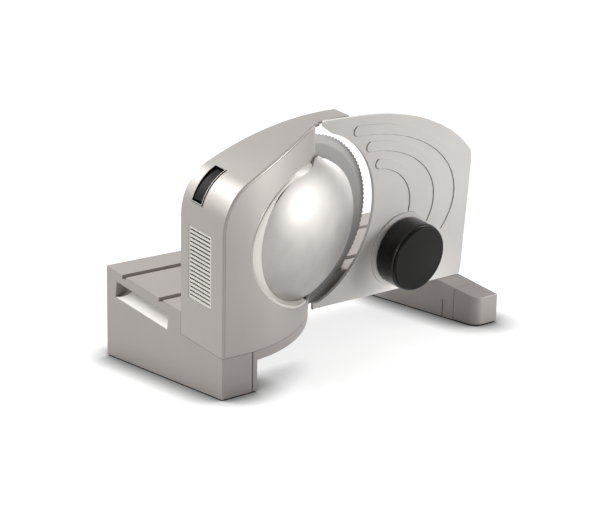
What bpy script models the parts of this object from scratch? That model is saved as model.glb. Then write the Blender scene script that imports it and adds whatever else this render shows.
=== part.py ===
"""Electric food slicer with a tilted blade, a domed blade cover and a sliding food carriage.

Units are metres and +Z is up. The upright frame starts at the front left corner of the base on the table:
X runs along the machine, Y from the slice side to the food side. The tilted frame carries everything that
follows the blade: its X is the same, its y is the blade axis v, pointing to the food side, and its z is w, up
the blade plane.
"""
import math

import bmesh
import bpy
from mathutils import Matrix, Vector

for leftover in list(bpy.data.objects):
    bpy.data.objects.remove(leftover)

# Driving dimensions
LENGTH = 0.352
DEPTH = 0.160
TILT = math.radians(9.6)
TILT_Y = 0.0583
TILT_Z = 0.0371
BLADE_R = 0.085
BLADE_X = 0.1249
BLADE_W = 0.0851
BLADE_BACK = 0.0079
BLADE_THICK = 0.0015
DECK_W = 0.0288
SEAM_W = 0.0089
ARM_W = -0.0003
HOOD_Y = 0.055
GAP = 0.0003
OVERRUN = 0.004
FOOT_RISE = 0.0012

COS = math.cos(TILT)
SIN = math.sin(TILT)
BLADE_FRONT = BLADE_BACK - BLADE_THICK

PARTS = bpy.data.collections.new("food_slicer")
CUTTERS = bpy.data.collections.new("cutters")
for group in (PARTS, CUTTERS):
    bpy.context.scene.collection.children.link(group)

# Directions for flat outlines: plan lies flat, face looks along the blade axis, side looks along X
PLAN = (0, 0, 0)
FACE = (math.pi / 2, 0, 0)
SIDE = (math.pi / 2, 0, math.pi / 2)
ALONG_V = (-math.pi / 2, 0, 0)
ALONG_X = (0, math.pi / 2, 0)
ALONG_W = (0, 0, 0)


def empty(name, place=(0, 0, 0), turn=(0, 0, 0), parent=None):
    """An empty that holds a frame or a joint axis."""
    holder = bpy.data.objects.new(name, None)
    holder.location = place
    holder.rotation_euler = turn
    holder.parent = parent
    PARTS.objects.link(holder)
    return holder


UPRIGHT = empty("upright_frame", (-LENGTH / 2, -DEPTH / 2, 0))
TILTED = empty("tilted_frame", (0, TILT_Y, TILT_Z), (TILT, 0, 0), UPRIGHT)


def y_at(v, w):
    return TILT_Y + v * COS - w * SIN


def z_at(v, w):
    return TILT_Z + v * SIN + w * COS


def v_on_y(y, w):
    """The v where height w of the blade plane reaches the upright plane y."""
    return (y - TILT_Y + w * SIN) / COS


def z_on_w(y, w):
    """The height Z where the upright plane y reaches level w."""
    return TILT_Z + (w + (y - TILT_Y) * SIN) / COS


def finish(name, colour, roughness, metallic=0.0):
    paint = bpy.data.materials.new(name)
    paint.use_nodes = True
    shader = paint.node_tree.nodes["Principled BSDF"]
    shader.inputs["Base Color"].default_value = (*colour, 1)
    shader.inputs["Roughness"].default_value = roughness
    shader.inputs["Metallic"].default_value = metallic
    return paint


SILVER = finish("silver_paint", (0.62, 0.59, 0.57), 0.38, 0.6)
POLISHED = finish("polished_cover", (0.85, 0.84, 0.83), 0.12, 1.0)
BLADE_STEEL = finish("blade_steel", (0.55, 0.55, 0.55), 0.25, 1.0)
SATIN_PLATE = finish("satin_plate", (0.75, 0.73, 0.71), 0.35, 0.8)
BLACK = finish("black_plastic", (0.02, 0.02, 0.02), 0.3)
RUBBER = finish("foot_rubber", (0.03, 0.03, 0.03), 0.8)
STEEL = finish("bright_steel", (0.6, 0.6, 0.6), 0.3, 1.0)
BRONZE = finish("bush_bronze", (0.55, 0.4, 0.2), 0.4, 1.0)
GEAR_PLASTIC = finish("gear_plastic", (0.8, 0.78, 0.7), 0.5)
DARK_PLASTIC = finish("dark_plastic", (0.12, 0.12, 0.12), 0.5)


def put(name, mesh, paint, parent=TILTED, place=(0, 0, 0), turn=(0, 0, 0)):
    """Link a mesh as one piece, or as a cutter when it has no paint."""
    piece = bpy.data.objects.new(name, mesh)
    piece.parent = parent
    piece.location = place
    piece.rotation_euler = turn
    if paint is None:
        CUTTERS.objects.link(piece)
        piece.hide_render = True
        piece.display_type = "WIRE"
    else:
        PARTS.objects.link(piece)
        mesh.materials.append(paint)
    return piece


def combine(piece, tool, operation):
    change = piece.modifiers.new(operation.lower(), "BOOLEAN")
    change.operation = operation
    change.object = tool
    change.solver = "EXACT"


def cut(piece, *tools):
    for tool in tools:
        combine(piece, tool, "DIFFERENCE")


def join(piece, *tools):
    for tool in tools:
        combine(piece, tool, "UNION")


def keep(piece, tool):
    combine(piece, tool, "INTERSECT")


def round_edges(piece, width, segments=2, angle=50):
    bevel = piece.modifiers.new("round", "BEVEL")
    bevel.width = width
    bevel.segments = segments
    bevel.limit_method = "ANGLE"
    bevel.angle_limit = math.radians(angle)
    bevel.use_clamp_overlap = True


def smooth(mesh, angle=32):
    mesh.shade_smooth()
    mesh.set_sharp_from_angle(angle=math.radians(angle))
    return mesh


def mesh_from(bm, name, outward=True):
    if outward:
        bmesh.ops.recalc_face_normals(bm, faces=bm.faces)
    mesh = bpy.data.meshes.new(name)
    bm.to_mesh(mesh)
    bm.free()
    return smooth(mesh)


def block(name, low, high):
    """A box between two corners."""
    bm = bmesh.new()
    bmesh.ops.create_cube(bm, size=1)
    size = Vector(high) - Vector(low)
    centre = (Vector(high) + Vector(low)) / 2
    bmesh.ops.scale(bm, vec=size, verts=bm.verts)
    bmesh.ops.translate(bm, vec=centre, verts=bm.verts)
    return mesh_from(bm, name)


def rod(name, radius, start, end, centre=(0, 0), sides=32, tip=None):
    """A round bar along local Z from start to end, tapering to tip when that is given."""
    bm = bmesh.new()
    last = radius if tip is None else tip
    middle = Matrix.Translation((centre[0], centre[1], (start + end) / 2))
    bmesh.ops.create_cone(bm, cap_ends=True, segments=sides, radius1=radius, radius2=last,
                          depth=end - start, matrix=middle)
    return mesh_from(bm, name)


def slab(name, rings, low, high):
    """A flat outline, with any holes, raised from low to high along local Z."""
    curve = bpy.data.curves.new(name, "CURVE")
    curve.dimensions = "2D"
    curve.fill_mode = "BOTH"
    curve.extrude = (high - low) / 2
    for ring in rings:
        spline = curve.splines.new("POLY")
        spline.points.add(len(ring) - 1)
        for point, (x, y) in zip(spline.points, ring):
            point.co = (x, y, 0, 1)
        spline.use_cyclic_u = True
    flat = bpy.data.objects.new(name, curve)
    flat.location = (0, 0, (low + high) / 2)
    bpy.context.scene.collection.objects.link(flat)
    bpy.context.view_layer.update()
    shape = bpy.data.meshes.new_from_object(flat.evaluated_get(bpy.context.evaluated_depsgraph_get()))
    shape.transform(flat.matrix_world)
    bpy.data.objects.remove(flat)
    bpy.data.curves.remove(curve)
    bm = bmesh.new()
    bm.from_mesh(shape)
    bmesh.ops.remove_doubles(bm, verts=bm.verts, dist=MERGE)
    bpy.data.meshes.remove(shape)
    return mesh_from(bm, name)


MERGE = 0.000005


def turned(name, profile, sides=48):
    """A Screw modifier's profile, (radius, height) from the top down the outer side."""
    mesh = bpy.data.meshes.new(name)
    closed = profile[0][0] > 0
    count = len(profile)
    edges = [(i, (i + 1) % count) for i in range(count if closed else count - 1)]
    mesh.from_pydata([(radius, 0, height) for radius, height in profile], edges, [])
    return mesh, sides


def put_turned(name, profile, paint, parent, place, turn, sides=48):
    mesh, steps = turned(name, profile, sides)
    piece = put(name, mesh, paint, parent, place, turn)
    spin = piece.modifiers.new("turn", "SCREW")
    spin.steps = steps
    spin.render_steps = steps
    spin.use_merge_vertices = True
    spin.merge_threshold = MERGE
    spin.use_smooth_shade = True
    return piece


def arc(centre, radius, start, end, count, squash=1.0):
    """Points on an arc in degrees, both ends included."""
    points = []
    for i in range(count + 1):
        angle = math.radians(start + (end - start) * i / count)
        points.append((centre[0] + radius * math.cos(angle), centre[1] + squash * radius * math.sin(angle)))
    return points


def circle(centre, radius, count=32, squash=1.0):
    return arc(centre, radius, 0, 360, count, squash)[:-1]


def box_ring(low, high, radius=0.0, count=4):
    """A rectangle's outline with rounded corners."""
    if radius == 0:
        return [(low[0], low[1]), (high[0], low[1]), (high[0], high[1]), (low[0], high[1])]
    corners = ((high[0] - radius, high[1] - radius, 0), (low[0] + radius, high[1] - radius, 90),
               (low[0] + radius, low[1] + radius, 180), (high[0] - radius, low[1] + radius, 270))
    return [point for x, y, start in corners for point in arc((x, y), radius, start, start + 90, count)]


def loft(name, sections, closed_path=False):
    """Rings of equal length joined one after the other, with caps at both ends."""
    bm = bmesh.new()
    rings = [[bm.verts.new(point) for point in section] for section in sections]
    pairs = list(zip(rings, rings[1:]))
    if closed_path:
        pairs.append((rings[-1], rings[0]))
    for lower, upper in pairs:
        for i in range(len(lower)):
            j = (i + 1) % len(lower)
            bm.faces.new((lower[i], lower[j], upper[j], upper[i]))
    if not closed_path:
        bm.faces.new(rings[0])
        bm.faces.new(rings[-1])
    return mesh_from(bm, name)


def sheet(name, rows):
    """An open surface from equal rows of points."""
    bm = bmesh.new()
    grid = [[bm.verts.new(point) for point in row] for row in rows]
    for near, far in zip(grid, grid[1:]):
        for i in range(len(near) - 1):
            bm.faces.new((near[i], near[i + 1], far[i + 1], far[i]))
    return mesh_from(bm, name)


def tilt_block(name, low, high):
    return put(name, block(name, low, high), None)


# Housing: its side is a ruled surface between a bottom curve at the seam and a flatter top curve
SIDE_Z_LOW = 0.040
SIDE_Z_HIGH = 0.215
SIDE_FLAT = 0.028
SIDE_LOW_R = 0.1556
SIDE_HIGH_R = 0.265
SIDE_LOW_END = 0.1467
SIDE_HIGH_END = 0.1616
WING_V = 0.0044
TIP_X = 0.1308
WING_END_X = 0.1355
BAND_END_X = 0.1745
BAND_WALL = 0.0024
BAND_EDGE_R = 0.0018
ROOF_LEAN = 0.0024
CORNER_R = 0.044
CORNER_W = 0.1119
ROOF_R = 0.3743
ROOF_X = 0.171
ROOF_W = -0.193
CORNER_END = 112.6
ROOF_END = 89.47


def side_low_y(x):
    if x < SIDE_FLAT:
        return 0
    return SIDE_LOW_R - math.sqrt(SIDE_LOW_R ** 2 - (x - SIDE_FLAT) ** 2)


def side_high_y(x):
    return SIDE_HIGH_R - math.sqrt(SIDE_HIGH_R ** 2 - x ** 2)


def side_y(x, z):
    """Y of the housing's side where it has this X and Z."""
    rise = (z - SIDE_Z_LOW) / (SIDE_Z_HIGH - SIDE_Z_LOW)
    share = x / (SIDE_LOW_END + (SIDE_HIGH_END - SIDE_LOW_END) * rise)
    return side_low_y(share * SIDE_LOW_END) * (1 - rise) + side_high_y(share * SIDE_HIGH_END) * rise


SETTLE_ROUNDS = 8


def side_v(x, w):
    """v of the housing's side at a place of the blade plane, flattened in front of the blade."""
    if x > TIP_X and w > BLADE_W + BLADE_R:
        return WING_V + (x - TIP_X) / (BAND_END_X - TIP_X) * ROOF_LEAN
    v = 0
    for _ in range(SETTLE_ROUNDS):
        v = v_on_y(side_y(x, z_at(v, w)), w)
    return min(v, WING_V)


def band_path(inset, steps_up=5, steps_corner=10, steps_roof=14):
    """The tower's outline in the blade plane, moved inwards by inset, from the seam to the roof's end."""
    foot = SEAM_W + GAP
    path = [(inset, foot + (CORNER_W - foot) * i / steps_up) for i in range(steps_up)]
    path += arc((CORNER_R, CORNER_W), CORNER_R - inset, 180, CORNER_END, steps_corner)[:-1]
    path += arc((ROOF_X, ROOF_W), ROOF_R - inset, CORNER_END, ROOF_END, steps_roof)
    return path


def make_tower_band():
    """The narrow face with its roof: one bent shell, with a rounded edge towards the side cover."""
    depths = [(0, BAND_EDGE_R)]
    for angle in (30, 60):
        turn = math.radians(angle)
        depths.append((BAND_EDGE_R * (1 - math.cos(turn)), BAND_EDGE_R * (1 - math.sin(turn))))
    depths += [(BAND_EDGE_R, 0), (BAND_WALL, 0)]
    layers = [band_path(inset) for inset, _ in depths]
    sections = []
    for i in range(len(layers[0])):
        near = [(layer[i][0], side_v(*layer[i]) + depth, layer[i][1]) for layer, (_, depth) in zip(layers, depths)]
        outer, inner = layers[0][i], layers[-1][i]
        far = [(inner[0], v_on_y(HOOD_Y, inner[1]), inner[1]), (outer[0], v_on_y(HOOD_Y, outer[1]), outer[1])]
        sections.append(near + far)
    return put("tower_band", loft("tower_band", sections), SILVER)


def lean(mesh, middle_w):
    """Shear a piece of the tilted frame so that its sides stay upright planes of constant Y."""
    for vertex in mesh.vertices:
        vertex.co.y += (vertex.co.z - middle_w) * SIN / COS
    return mesh


tower_band = make_tower_band()

# The roof's end is set back so that the closed stop plate passes in front of it
SWEEP_X = 0.1360
SWEEP_V = 0.0083
cut(tower_band, tilt_block("plate_sweep", (SWEEP_X, -SWEEP_V, CORNER_W), (LENGTH, SWEEP_V, LENGTH)))

# Vent window in the narrow face, with a slatted grille let into it
VENT_Y_LOW = 0.0155
VENT_Y_HIGH = 0.0445
VENT_W_LOW = 0.0452
VENT_W_HIGH = 0.107
SLAT_COUNT = 17
SLOT_SHARE = 0.52
VENT_RIM = 0.0014
GRILLE_THICK = 0.0018


def vent_ring(y_low, y_high, w_low, w_high):
    """An outline on the narrow face whose upright sides keep their Y."""
    return [(v_on_y(y_low, w_low), w_low), (v_on_y(y_high, w_low), w_low),
            (v_on_y(y_high, w_high), w_high), (v_on_y(y_low, w_high), w_high)]


def make_vent():
    window = slab("vent_window", [vent_ring(VENT_Y_LOW, VENT_Y_HIGH, VENT_W_LOW, VENT_W_HIGH)],
                  -OVERRUN, BAND_WALL + OVERRUN)
    cut(tower_band, put("vent_window", window, None, turn=SIDE))
    rings = [vent_ring(VENT_Y_LOW + GAP, VENT_Y_HIGH - GAP, VENT_W_LOW + GAP, VENT_W_HIGH - GAP)]
    pitch = (VENT_W_HIGH - VENT_W_LOW - 2 * VENT_RIM) / SLAT_COUNT
    for i in range(SLAT_COUNT):
        middle = VENT_W_LOW + VENT_RIM + pitch * (i + 1 / 2)
        half = pitch * SLOT_SHARE / 2
        rings.append(vent_ring(VENT_Y_LOW + VENT_RIM, VENT_Y_HIGH - VENT_RIM, middle - half, middle + half))
    grille = slab("vent_grille", rings, 0, GRILLE_THICK)
    put("vent_grille", grille, SILVER, place=(GAP, 0, 0), turn=SIDE)


make_vent()

# Switch on the tower's rounded shoulder
SWITCH_START = 160.5
SWITCH_END = 110.0
SWITCH_Y_LOW = 0.030
SWITCH_Y_HIGH = 0.0445
BEZEL_WALL = 0.0013
BEZEL_PROUD = 0.0007
BEZEL_DEPTH = 0.012
BLOCK_DEPTH = 0.019
ROCKER_DEPTH = 0.0078
ROCKER_SINK = 0.0006
ROCKER_END_PLAY = 0.0010
ROCKER_SIDE_PLAY = 0.0006
ROCKER_REST = math.radians(4)
PIN_R = 0.0010
PIN_PLAY = 0.0003
PIN_INSET = 0.0055
SWITCH_MIDDLE = (SWITCH_START + SWITCH_END) / 2
SWITCH_W = CORNER_W + CORNER_R * math.sin(math.radians(SWITCH_MIDDLE))
SWITCH_V_LOW = v_on_y(SWITCH_Y_LOW, SWITCH_W)
SWITCH_V_HIGH = v_on_y(SWITCH_Y_HIGH, SWITCH_W)
SHOULDER = (CORNER_R, CORNER_W)


def sector(name, inner, outer, trim, side_trim, steps=8):
    """A piece of the shoulder between two radii, trimmed at its ends and sides, with upright sides."""
    start = SWITCH_START - math.degrees(trim / CORNER_R)
    end = SWITCH_END + math.degrees(trim / CORNER_R)
    ring = arc(SHOULDER, outer, start, end, steps) + arc(SHOULDER, inner, end, start, steps)
    mesh = slab(name, [ring], -(SWITCH_V_HIGH - side_trim), -(SWITCH_V_LOW + side_trim))
    mesh.transform(Matrix.Rotation(math.pi / 2, 4, "X"))
    return lean(mesh, SWITCH_W)


def make_switch():
    cut(tower_band, put("switch_window", sector("switch_window", CORNER_R - BAND_WALL - OVERRUN,
                                                CORNER_R + OVERRUN, 0, 0), None))
    bezel = put("switch_bezel", sector("switch_bezel", CORNER_R - BEZEL_DEPTH, CORNER_R + BEZEL_PROUD,
                                       GAP, GAP), BLACK)
    cut(bezel, put("switch_well", sector("switch_well", CORNER_R - BEZEL_DEPTH - OVERRUN,
                                         CORNER_R + OVERRUN, GAP + BEZEL_WALL, GAP + BEZEL_WALL), None))
    pivot_r = CORNER_R - PIN_INSET
    turn = math.radians(SWITCH_MIDDLE)
    pivot = (CORNER_R + pivot_r * math.cos(turn), 0, CORNER_W + pivot_r * math.sin(turn))
    axis = empty("rocker_axis", pivot, parent=TILTED)
    rocker_mesh = sector("switch_rocker", CORNER_R - ROCKER_DEPTH, CORNER_R - ROCKER_SINK,
                         GAP + BEZEL_WALL + ROCKER_END_PLAY, GAP + BEZEL_WALL + ROCKER_SIDE_PLAY)
    rocker_mesh.transform(Matrix.Translation(-Vector(pivot)))
    rocker = put("switch_rocker", rocker_mesh, BLACK, axis, turn=(0, ROCKER_REST, 0))
    hole = rod("pin_hole", PIN_R + PIN_PLAY, SWITCH_V_LOW - OVERRUN, SWITCH_V_HIGH + OVERRUN, sides=16)
    cutter = put("pin_hole", hole, None, axis, turn=ALONG_V)
    cut(rocker, cutter)
    cut(bezel, cutter)
    pin = rod("rocker_pin", PIN_R, SWITCH_V_LOW + 2 * GAP, SWITCH_V_HIGH - 2 * GAP, sides=16)
    put("rocker_pin", pin, STEEL, TILTED, pivot, ALONG_V)
    put("switch_block", sector("switch_block", CORNER_R - BEZEL_DEPTH - BLOCK_DEPTH / 2,
                               CORNER_R - BEZEL_DEPTH - GAP, GAP, GAP), DARK_PLASTIC)


make_switch()

# Drive plate closes the housing's food side and carries the drive
PLATE_V_LOW = 0.0014
PLATE_V_HIGH = 0.0044
DOME_X = 0.1232
DOME_W = 0.0830
DOME_BASE_R = 0.0675
PLATE_LOW_X = 0.150
PLATE_LOW_STEP = 0.024
PLATE_WING_RISE = 0.0615
PLATE_WING_W = DOME_W + PLATE_WING_RISE
PLATE_WING_X = 0.1235
PLATE_ROOF_X = 0.1130
AXLE_R = 0.006
AXLE_BUSH_R = 0.010
NOTCH_PLAY = 0.0010


def make_drive_plate():
    inset = BAND_WALL + GAP
    foot = SEAM_W + GAP
    ring = [(inset, foot), (PLATE_LOW_X, foot), (PLATE_LOW_X, PLATE_LOW_STEP)]
    low_turn = math.degrees(math.atan2(PLATE_LOW_STEP - DOME_W, PLATE_LOW_X - DOME_X))
    high_turn = math.degrees(math.asin((PLATE_WING_W - DOME_W) / DOME_BASE_R))
    ring += arc((DOME_X, DOME_W), DOME_BASE_R, low_turn, high_turn, 24)
    ring.append((PLATE_WING_X, PLATE_WING_W))
    # The switch stands in a notch of the shoulder
    play = math.degrees(NOTCH_PLAY / CORNER_R)
    notch_x = CORNER_R + CORNER_R * math.cos(math.radians(SWITCH_END - play))
    roof = arc((ROOF_X, ROOF_W), ROOF_R - inset, CORNER_END, ROOF_END, 14)
    ring += [point for point in reversed(roof) if notch_x < point[0] < PLATE_ROOF_X]
    low_r = CORNER_R - BEZEL_DEPTH - BLOCK_DEPTH / 2 - NOTCH_PLAY
    ring += arc(SHOULDER, low_r, SWITCH_END - play, SWITCH_START + play, 6)
    ring += arc(SHOULDER, CORNER_R - inset, SWITCH_START + play, 180, 3)
    axle_hole = circle((BLADE_X, BLADE_W), AXLE_BUSH_R + GAP)
    plate = slab("drive_plate", [ring, axle_hole], -PLATE_V_HIGH, -PLATE_V_LOW)
    return put("drive_plate", plate, SILVER, turn=FACE)


drive_plate = make_drive_plate()

# Domed cover over the drive, pressed from sheet and polished
DOME_CENTRE = (0.118, 0.051, 0.125)
DOME_SEMI = (0.092, 0.038, 0.072)
DOME_YAW = math.radians(18)
DOME_LIP_RISE = 0.009
DOME_BLEND = 0.004
DOME_WALL = 0.0014
DOME_SEAT_V = PLATE_V_LOW - GAP
DOME_LEFT = (0.1245, 0.0857)
DOME_LEFT_SEMI = (0.080, 0.0600)
DOME_RETURN = 0.0022
DOME_SPARE = 1.05
DOME_SKIRT = 0.003
DOME_RING_COUNT = 9
DOME_TURN_COUNT = 56


def ellipsoid_v(x, w):
    """v of the dome's main ellipsoid on the slice side, or None outside it."""
    dx = x - DOME_CENTRE[0]
    dy = y_at(0, w) - DOME_CENTRE[1]
    dz = z_at(0, w) - DOME_CENTRE[2]
    yaw_cos, yaw_sin = math.cos(DOME_YAW), math.sin(DOME_YAW)
    start = ((dx * yaw_cos + dy * yaw_sin) / DOME_SEMI[0], (dy * yaw_cos - dx * yaw_sin) / DOME_SEMI[1],
             dz / DOME_SEMI[2])
    step = (COS * yaw_sin / DOME_SEMI[0], COS * yaw_cos / DOME_SEMI[1], SIN / DOME_SEMI[2])
    square = sum(part * part for part in step)
    mixed = sum(a * b for a, b in zip(start, step))
    rest = sum(part * part for part in start) - 1
    inside = mixed * mixed - square * rest
    if inside < 0:
        return None
    return (-mixed - math.sqrt(inside)) / square


def dome_v(x, w):
    """v of the dome: the ellipsoid blended into a shallow round lip about the blade."""
    spread = math.hypot(x - DOME_X, w - DOME_W) / DOME_BASE_R
    lip = DOME_SEAT_V - DOME_LIP_RISE * (1 - spread ** 2)
    main = ellipsoid_v(x, w)
    if main is None:
        return lip
    near = max(DOME_BLEND - abs(main - lip), 0) / DOME_BLEND
    return min(main, lip) - near * near * DOME_BLEND / 4


def ease(value, low, high):
    share = min(max((value - low) / (high - low), 0), 1)
    return share * share * (3 - 2 * share)


LEFT_TURNS = (76, 92, 262, 292)
WALL_TURNS = (112, 128, 232, 248)


def left_share(turn):
    """How much of the outline follows the oval of the side cover's opening, by direction in degrees."""
    turn = turn % 360
    return ease(turn, LEFT_TURNS[0], LEFT_TURNS[1]) * (1 - ease(turn, LEFT_TURNS[2], LEFT_TURNS[3]))


def oval_radius(turn):
    """Distance from the dome's centre to the oval outline in a direction."""
    angle = math.radians(turn)
    ux, uy = math.cos(angle) / DOME_LEFT_SEMI[0], math.sin(angle) / DOME_LEFT_SEMI[1]
    cx = (DOME_X - DOME_LEFT[0]) / DOME_LEFT_SEMI[0]
    cy = (DOME_W - DOME_LEFT[1]) / DOME_LEFT_SEMI[1]
    square = ux * ux + uy * uy
    mixed = ux * cx + uy * cy
    return (-mixed + math.sqrt(mixed * mixed - square * (cx * cx + cy * cy - 1))) / square


def dome_radius(turn):
    share = left_share(turn)
    return oval_radius(turn) * share + DOME_BASE_R * DOME_SPARE * (1 - share)


def dome_rows(grow=0.0, lift=0.0):
    """Rings of the dome from its crown to its rim, grown outwards and lifted towards the slice side."""
    rows = []
    for j in range(1, DOME_RING_COUNT + 1):
        share = math.sin(math.pi / 2 * j / DOME_RING_COUNT)
        row = []
        for i in range(DOME_TURN_COUNT):
            turn = 360 * i / DOME_TURN_COUNT
            angle = math.radians(turn)
            reach = (dome_radius(turn) + grow) * share
            x, w = DOME_X + reach * math.cos(angle), DOME_W + reach * math.sin(angle)
            row.append(Vector((x, dome_v(x, w) - lift, w)))
        rows.append(row)
    return rows


def rim_v(i, v):
    """v of the rim's free edge: past the seat on the drive plate, or a short return on the hidden left side."""
    turn = 360 * i / DOME_TURN_COUNT
    hidden = ease(turn, WALL_TURNS[0], WALL_TURNS[1]) * (1 - ease(turn, WALL_TURNS[2], WALL_TURNS[3]))
    return (v + DOME_RETURN) * hidden + (DOME_SEAT_V + DOME_SKIRT) * (1 - hidden)


def dome_mesh(name, rows, crown, last=None):
    """Rings joined in order from a crown to a last point, or to a flat base when there is none."""
    bm = bmesh.new()
    rings = [[bm.verts.new(point) for point in row] for row in rows]
    count = len(rings[0])
    ends = [(bm.verts.new(crown), rings[0])]
    if last is None:
        bm.faces.new(rings[-1])
    else:
        ends.append((bm.verts.new(last), rings[-1]))
    for tip, ring in ends:
        for i in range(count):
            bm.faces.new((tip, ring[i], ring[(i + 1) % count]))
    for inner, outer in zip(rings, rings[1:]):
        for i in range(count):
            j = (i + 1) % count
            bm.faces.new((inner[i], outer[i], outer[j], inner[j]))
    return mesh_from(bm, name)


def make_dome():
    """The outside and the inside of the sheet, joined at the rim and trimmed flat where it seats."""
    outside = dome_rows()
    inside = dome_rows(-DOME_WALL, -DOME_WALL)
    rim = [rim_v(i, point.y) for i, point in enumerate(outside[-1])]
    rows = outside + [[Vector((point.x, v, point.z)) for point, v in zip(ring, rim)]
                      for ring in (outside[-1], inside[-1])] + inside[::-1]
    crown = dome_v(DOME_X, DOME_W)
    mesh = dome_mesh("dome_cover", rows, (DOME_X, crown, DOME_W), (DOME_X, crown + DOME_WALL, DOME_W))
    dome = put("dome_cover", mesh, POLISHED)
    cut(dome, tilt_block("dome_seat", (-OVERRUN, DOME_SEAT_V, -OVERRUN), (LENGTH, HOOD_Y, LENGTH)))
    return dome


def dome_clearance(name, play):
    """The dome's outside, grown by a play, as a cutter that reaches back to the drive plate."""
    rows = dome_rows(play, play)
    rows.append([Vector((point.x, PLATE_V_LOW + OVERRUN, point.z)) for point in rows[-1]])
    crown = (DOME_X, dome_v(DOME_X, DOME_W) - play, DOME_W)
    return put(name, dome_mesh(name, rows, crown), None)


dome_cover = make_dome()

# Side cover: the curved panel with the oval opening and the pointed wing
COVER_WALL = 0.003
COVER_START = 0.0
OPENING = (0.125, 0.1195)
OPENING_SEMI = (0.0935, 0.062)
SURROUND_WALL = 0.0010
COVER_TOP_SPARE = 1.06
COVER_END_SHARE = 1.03
COVER_V_MAX = 0.0059
WING_LOW_W = 0.1405


def side_point(share, rise, inward):
    """A point of the ruled side: share runs along it, rise up it, and inward is its depth in Y."""
    x = share * (SIDE_LOW_END + (SIDE_HIGH_END - SIDE_LOW_END) * rise)
    z = SIDE_Z_LOW + (SIDE_Z_HIGH - SIDE_Z_LOW) * rise
    y = side_low_y(share * SIDE_LOW_END) * (1 - rise) + side_high_y(share * SIDE_HIGH_END) * rise
    front = v_on_y(y, (z - TILT_Z) * COS - (y - TILT_Y) * SIN)
    limit = WING_V + GAP / 10
    if front > limit and rise > 1 / 2:
        y = TILT_Y + (limit - (z - TILT_Z) * SIN) / COS
    return (x, y + inward, z)


def make_side_cover():
    columns, levels = 30, 12
    low, high = -0.06, COVER_TOP_SPARE
    sections = []
    for i in range(columns + 1):
        share = COVER_END_SHARE * i / columns
        front = [side_point(share, low + (high - low) * j / levels, COVER_START) for j in range(levels + 1)]
        back = [side_point(share, low + (high - low) * j / levels, COVER_WALL) for j in range(levels + 1)]
        sections.append(front + list(reversed(back)))
    cover = put("side_cover", loft("side_cover", sections), SILVER, UPRIGHT)
    edge = [point for point in band_path(BAND_WALL + GAP) if point[0] < TIP_X]
    outline = edge + [(TIP_X, ROOF_W + math.sqrt((ROOF_R - BAND_WALL - GAP) ** 2 - (TIP_X - ROOF_X) ** 2)),
                      (WING_END_X, WING_LOW_W), (SIDE_HIGH_END, WING_LOW_W), (SIDE_HIGH_END, SEAM_W + GAP)]
    reach = slab("cover_outline", [outline], -COVER_V_MAX, DEPTH)
    keep(cover, put("cover_outline", reach, None, turn=FACE))
    grow = SURROUND_WALL + GAP
    oval = circle(OPENING, OPENING_SEMI[0], 72, OPENING_SEMI[1] / OPENING_SEMI[0])
    oval = [(x + (x - OPENING[0]) / OPENING_SEMI[0] * grow, z + (z - OPENING[1]) / OPENING_SEMI[1] * grow)
            for x, z in oval]
    opening = slab("cover_opening", [oval], -HOOD_Y - OVERRUN, DEPTH)
    cut(cover, put("cover_opening", opening, None, UPRIGHT, turn=FACE))
    cut(cover, tilt_block("plate_clearance", (-OVERRUN, DOME_SEAT_V, -OVERRUN),
                          (SIDE_HIGH_END + OVERRUN, HOOD_Y, WING_LOW_W)))
    cut(cover, dome_clearance("cover_dome_play", 2 * GAP))
    return cover


side_cover = make_side_cover()

# Surround: a bright dished ring between the side cover's opening and the dome
SURROUND_START = 104
SURROUND_END = 268
SURROUND_INNER = (0.1245, 0.1200)
SURROUND_INNER_SEMI = (0.077, 0.0620)
SURROUND_TURNS = 36
SURROUND_STEPS = 4
SURROUND_SAG = 0.0012


def dome_y(x, z):
    """Y of the dome's outside at an upright place, found by settling v and w together."""
    v = 0
    for _ in range(3 * SETTLE_ROUNDS):
        y = y_at(v, 0)
        w = (z - TILT_Z - v * SIN) / COS
        v = v * 1 / 2 + dome_v(x, w) / 2
    w = (z - TILT_Z - v * SIN) / COS
    return y_at(v, w)


def make_surround():
    rows = []
    for i in range(SURROUND_TURNS + 1):
        angle = math.radians(SURROUND_START + (SURROUND_END - SURROUND_START) * i / SURROUND_TURNS)
        rim_x = OPENING[0] + OPENING_SEMI[0] * math.cos(angle)
        rim_z = OPENING[1] + OPENING_SEMI[1] * math.sin(angle)
        rim = Vector((rim_x, side_y(rim_x, rim_z), rim_z))
        in_x = SURROUND_INNER[0] + SURROUND_INNER_SEMI[0] * math.cos(angle)
        in_z = SURROUND_INNER[1] + SURROUND_INNER_SEMI[1] * math.sin(angle)
        inner = Vector((in_x, dome_y(in_x, in_z) - 3 * GAP, in_z))
        row = []
        for j in range(SURROUND_STEPS + 1):
            share = j / SURROUND_STEPS
            point = rim.lerp(inner, share)
            point.y += SURROUND_SAG * math.sin(math.pi * share) * abs(math.cos(angle))
            row.append(point)
        rows.append(row)
    ring = put("dome_surround", sheet("dome_surround", rows), POLISHED, UPRIGHT)
    shell = ring.modifiers.new("wall", "SOLIDIFY")
    shell.thickness = SURROUND_WALL
    shell.offset = -1
    cut(ring, dome_clearance("surround_dome_play", GAP))
    return ring


dome_surround = make_surround()

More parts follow.
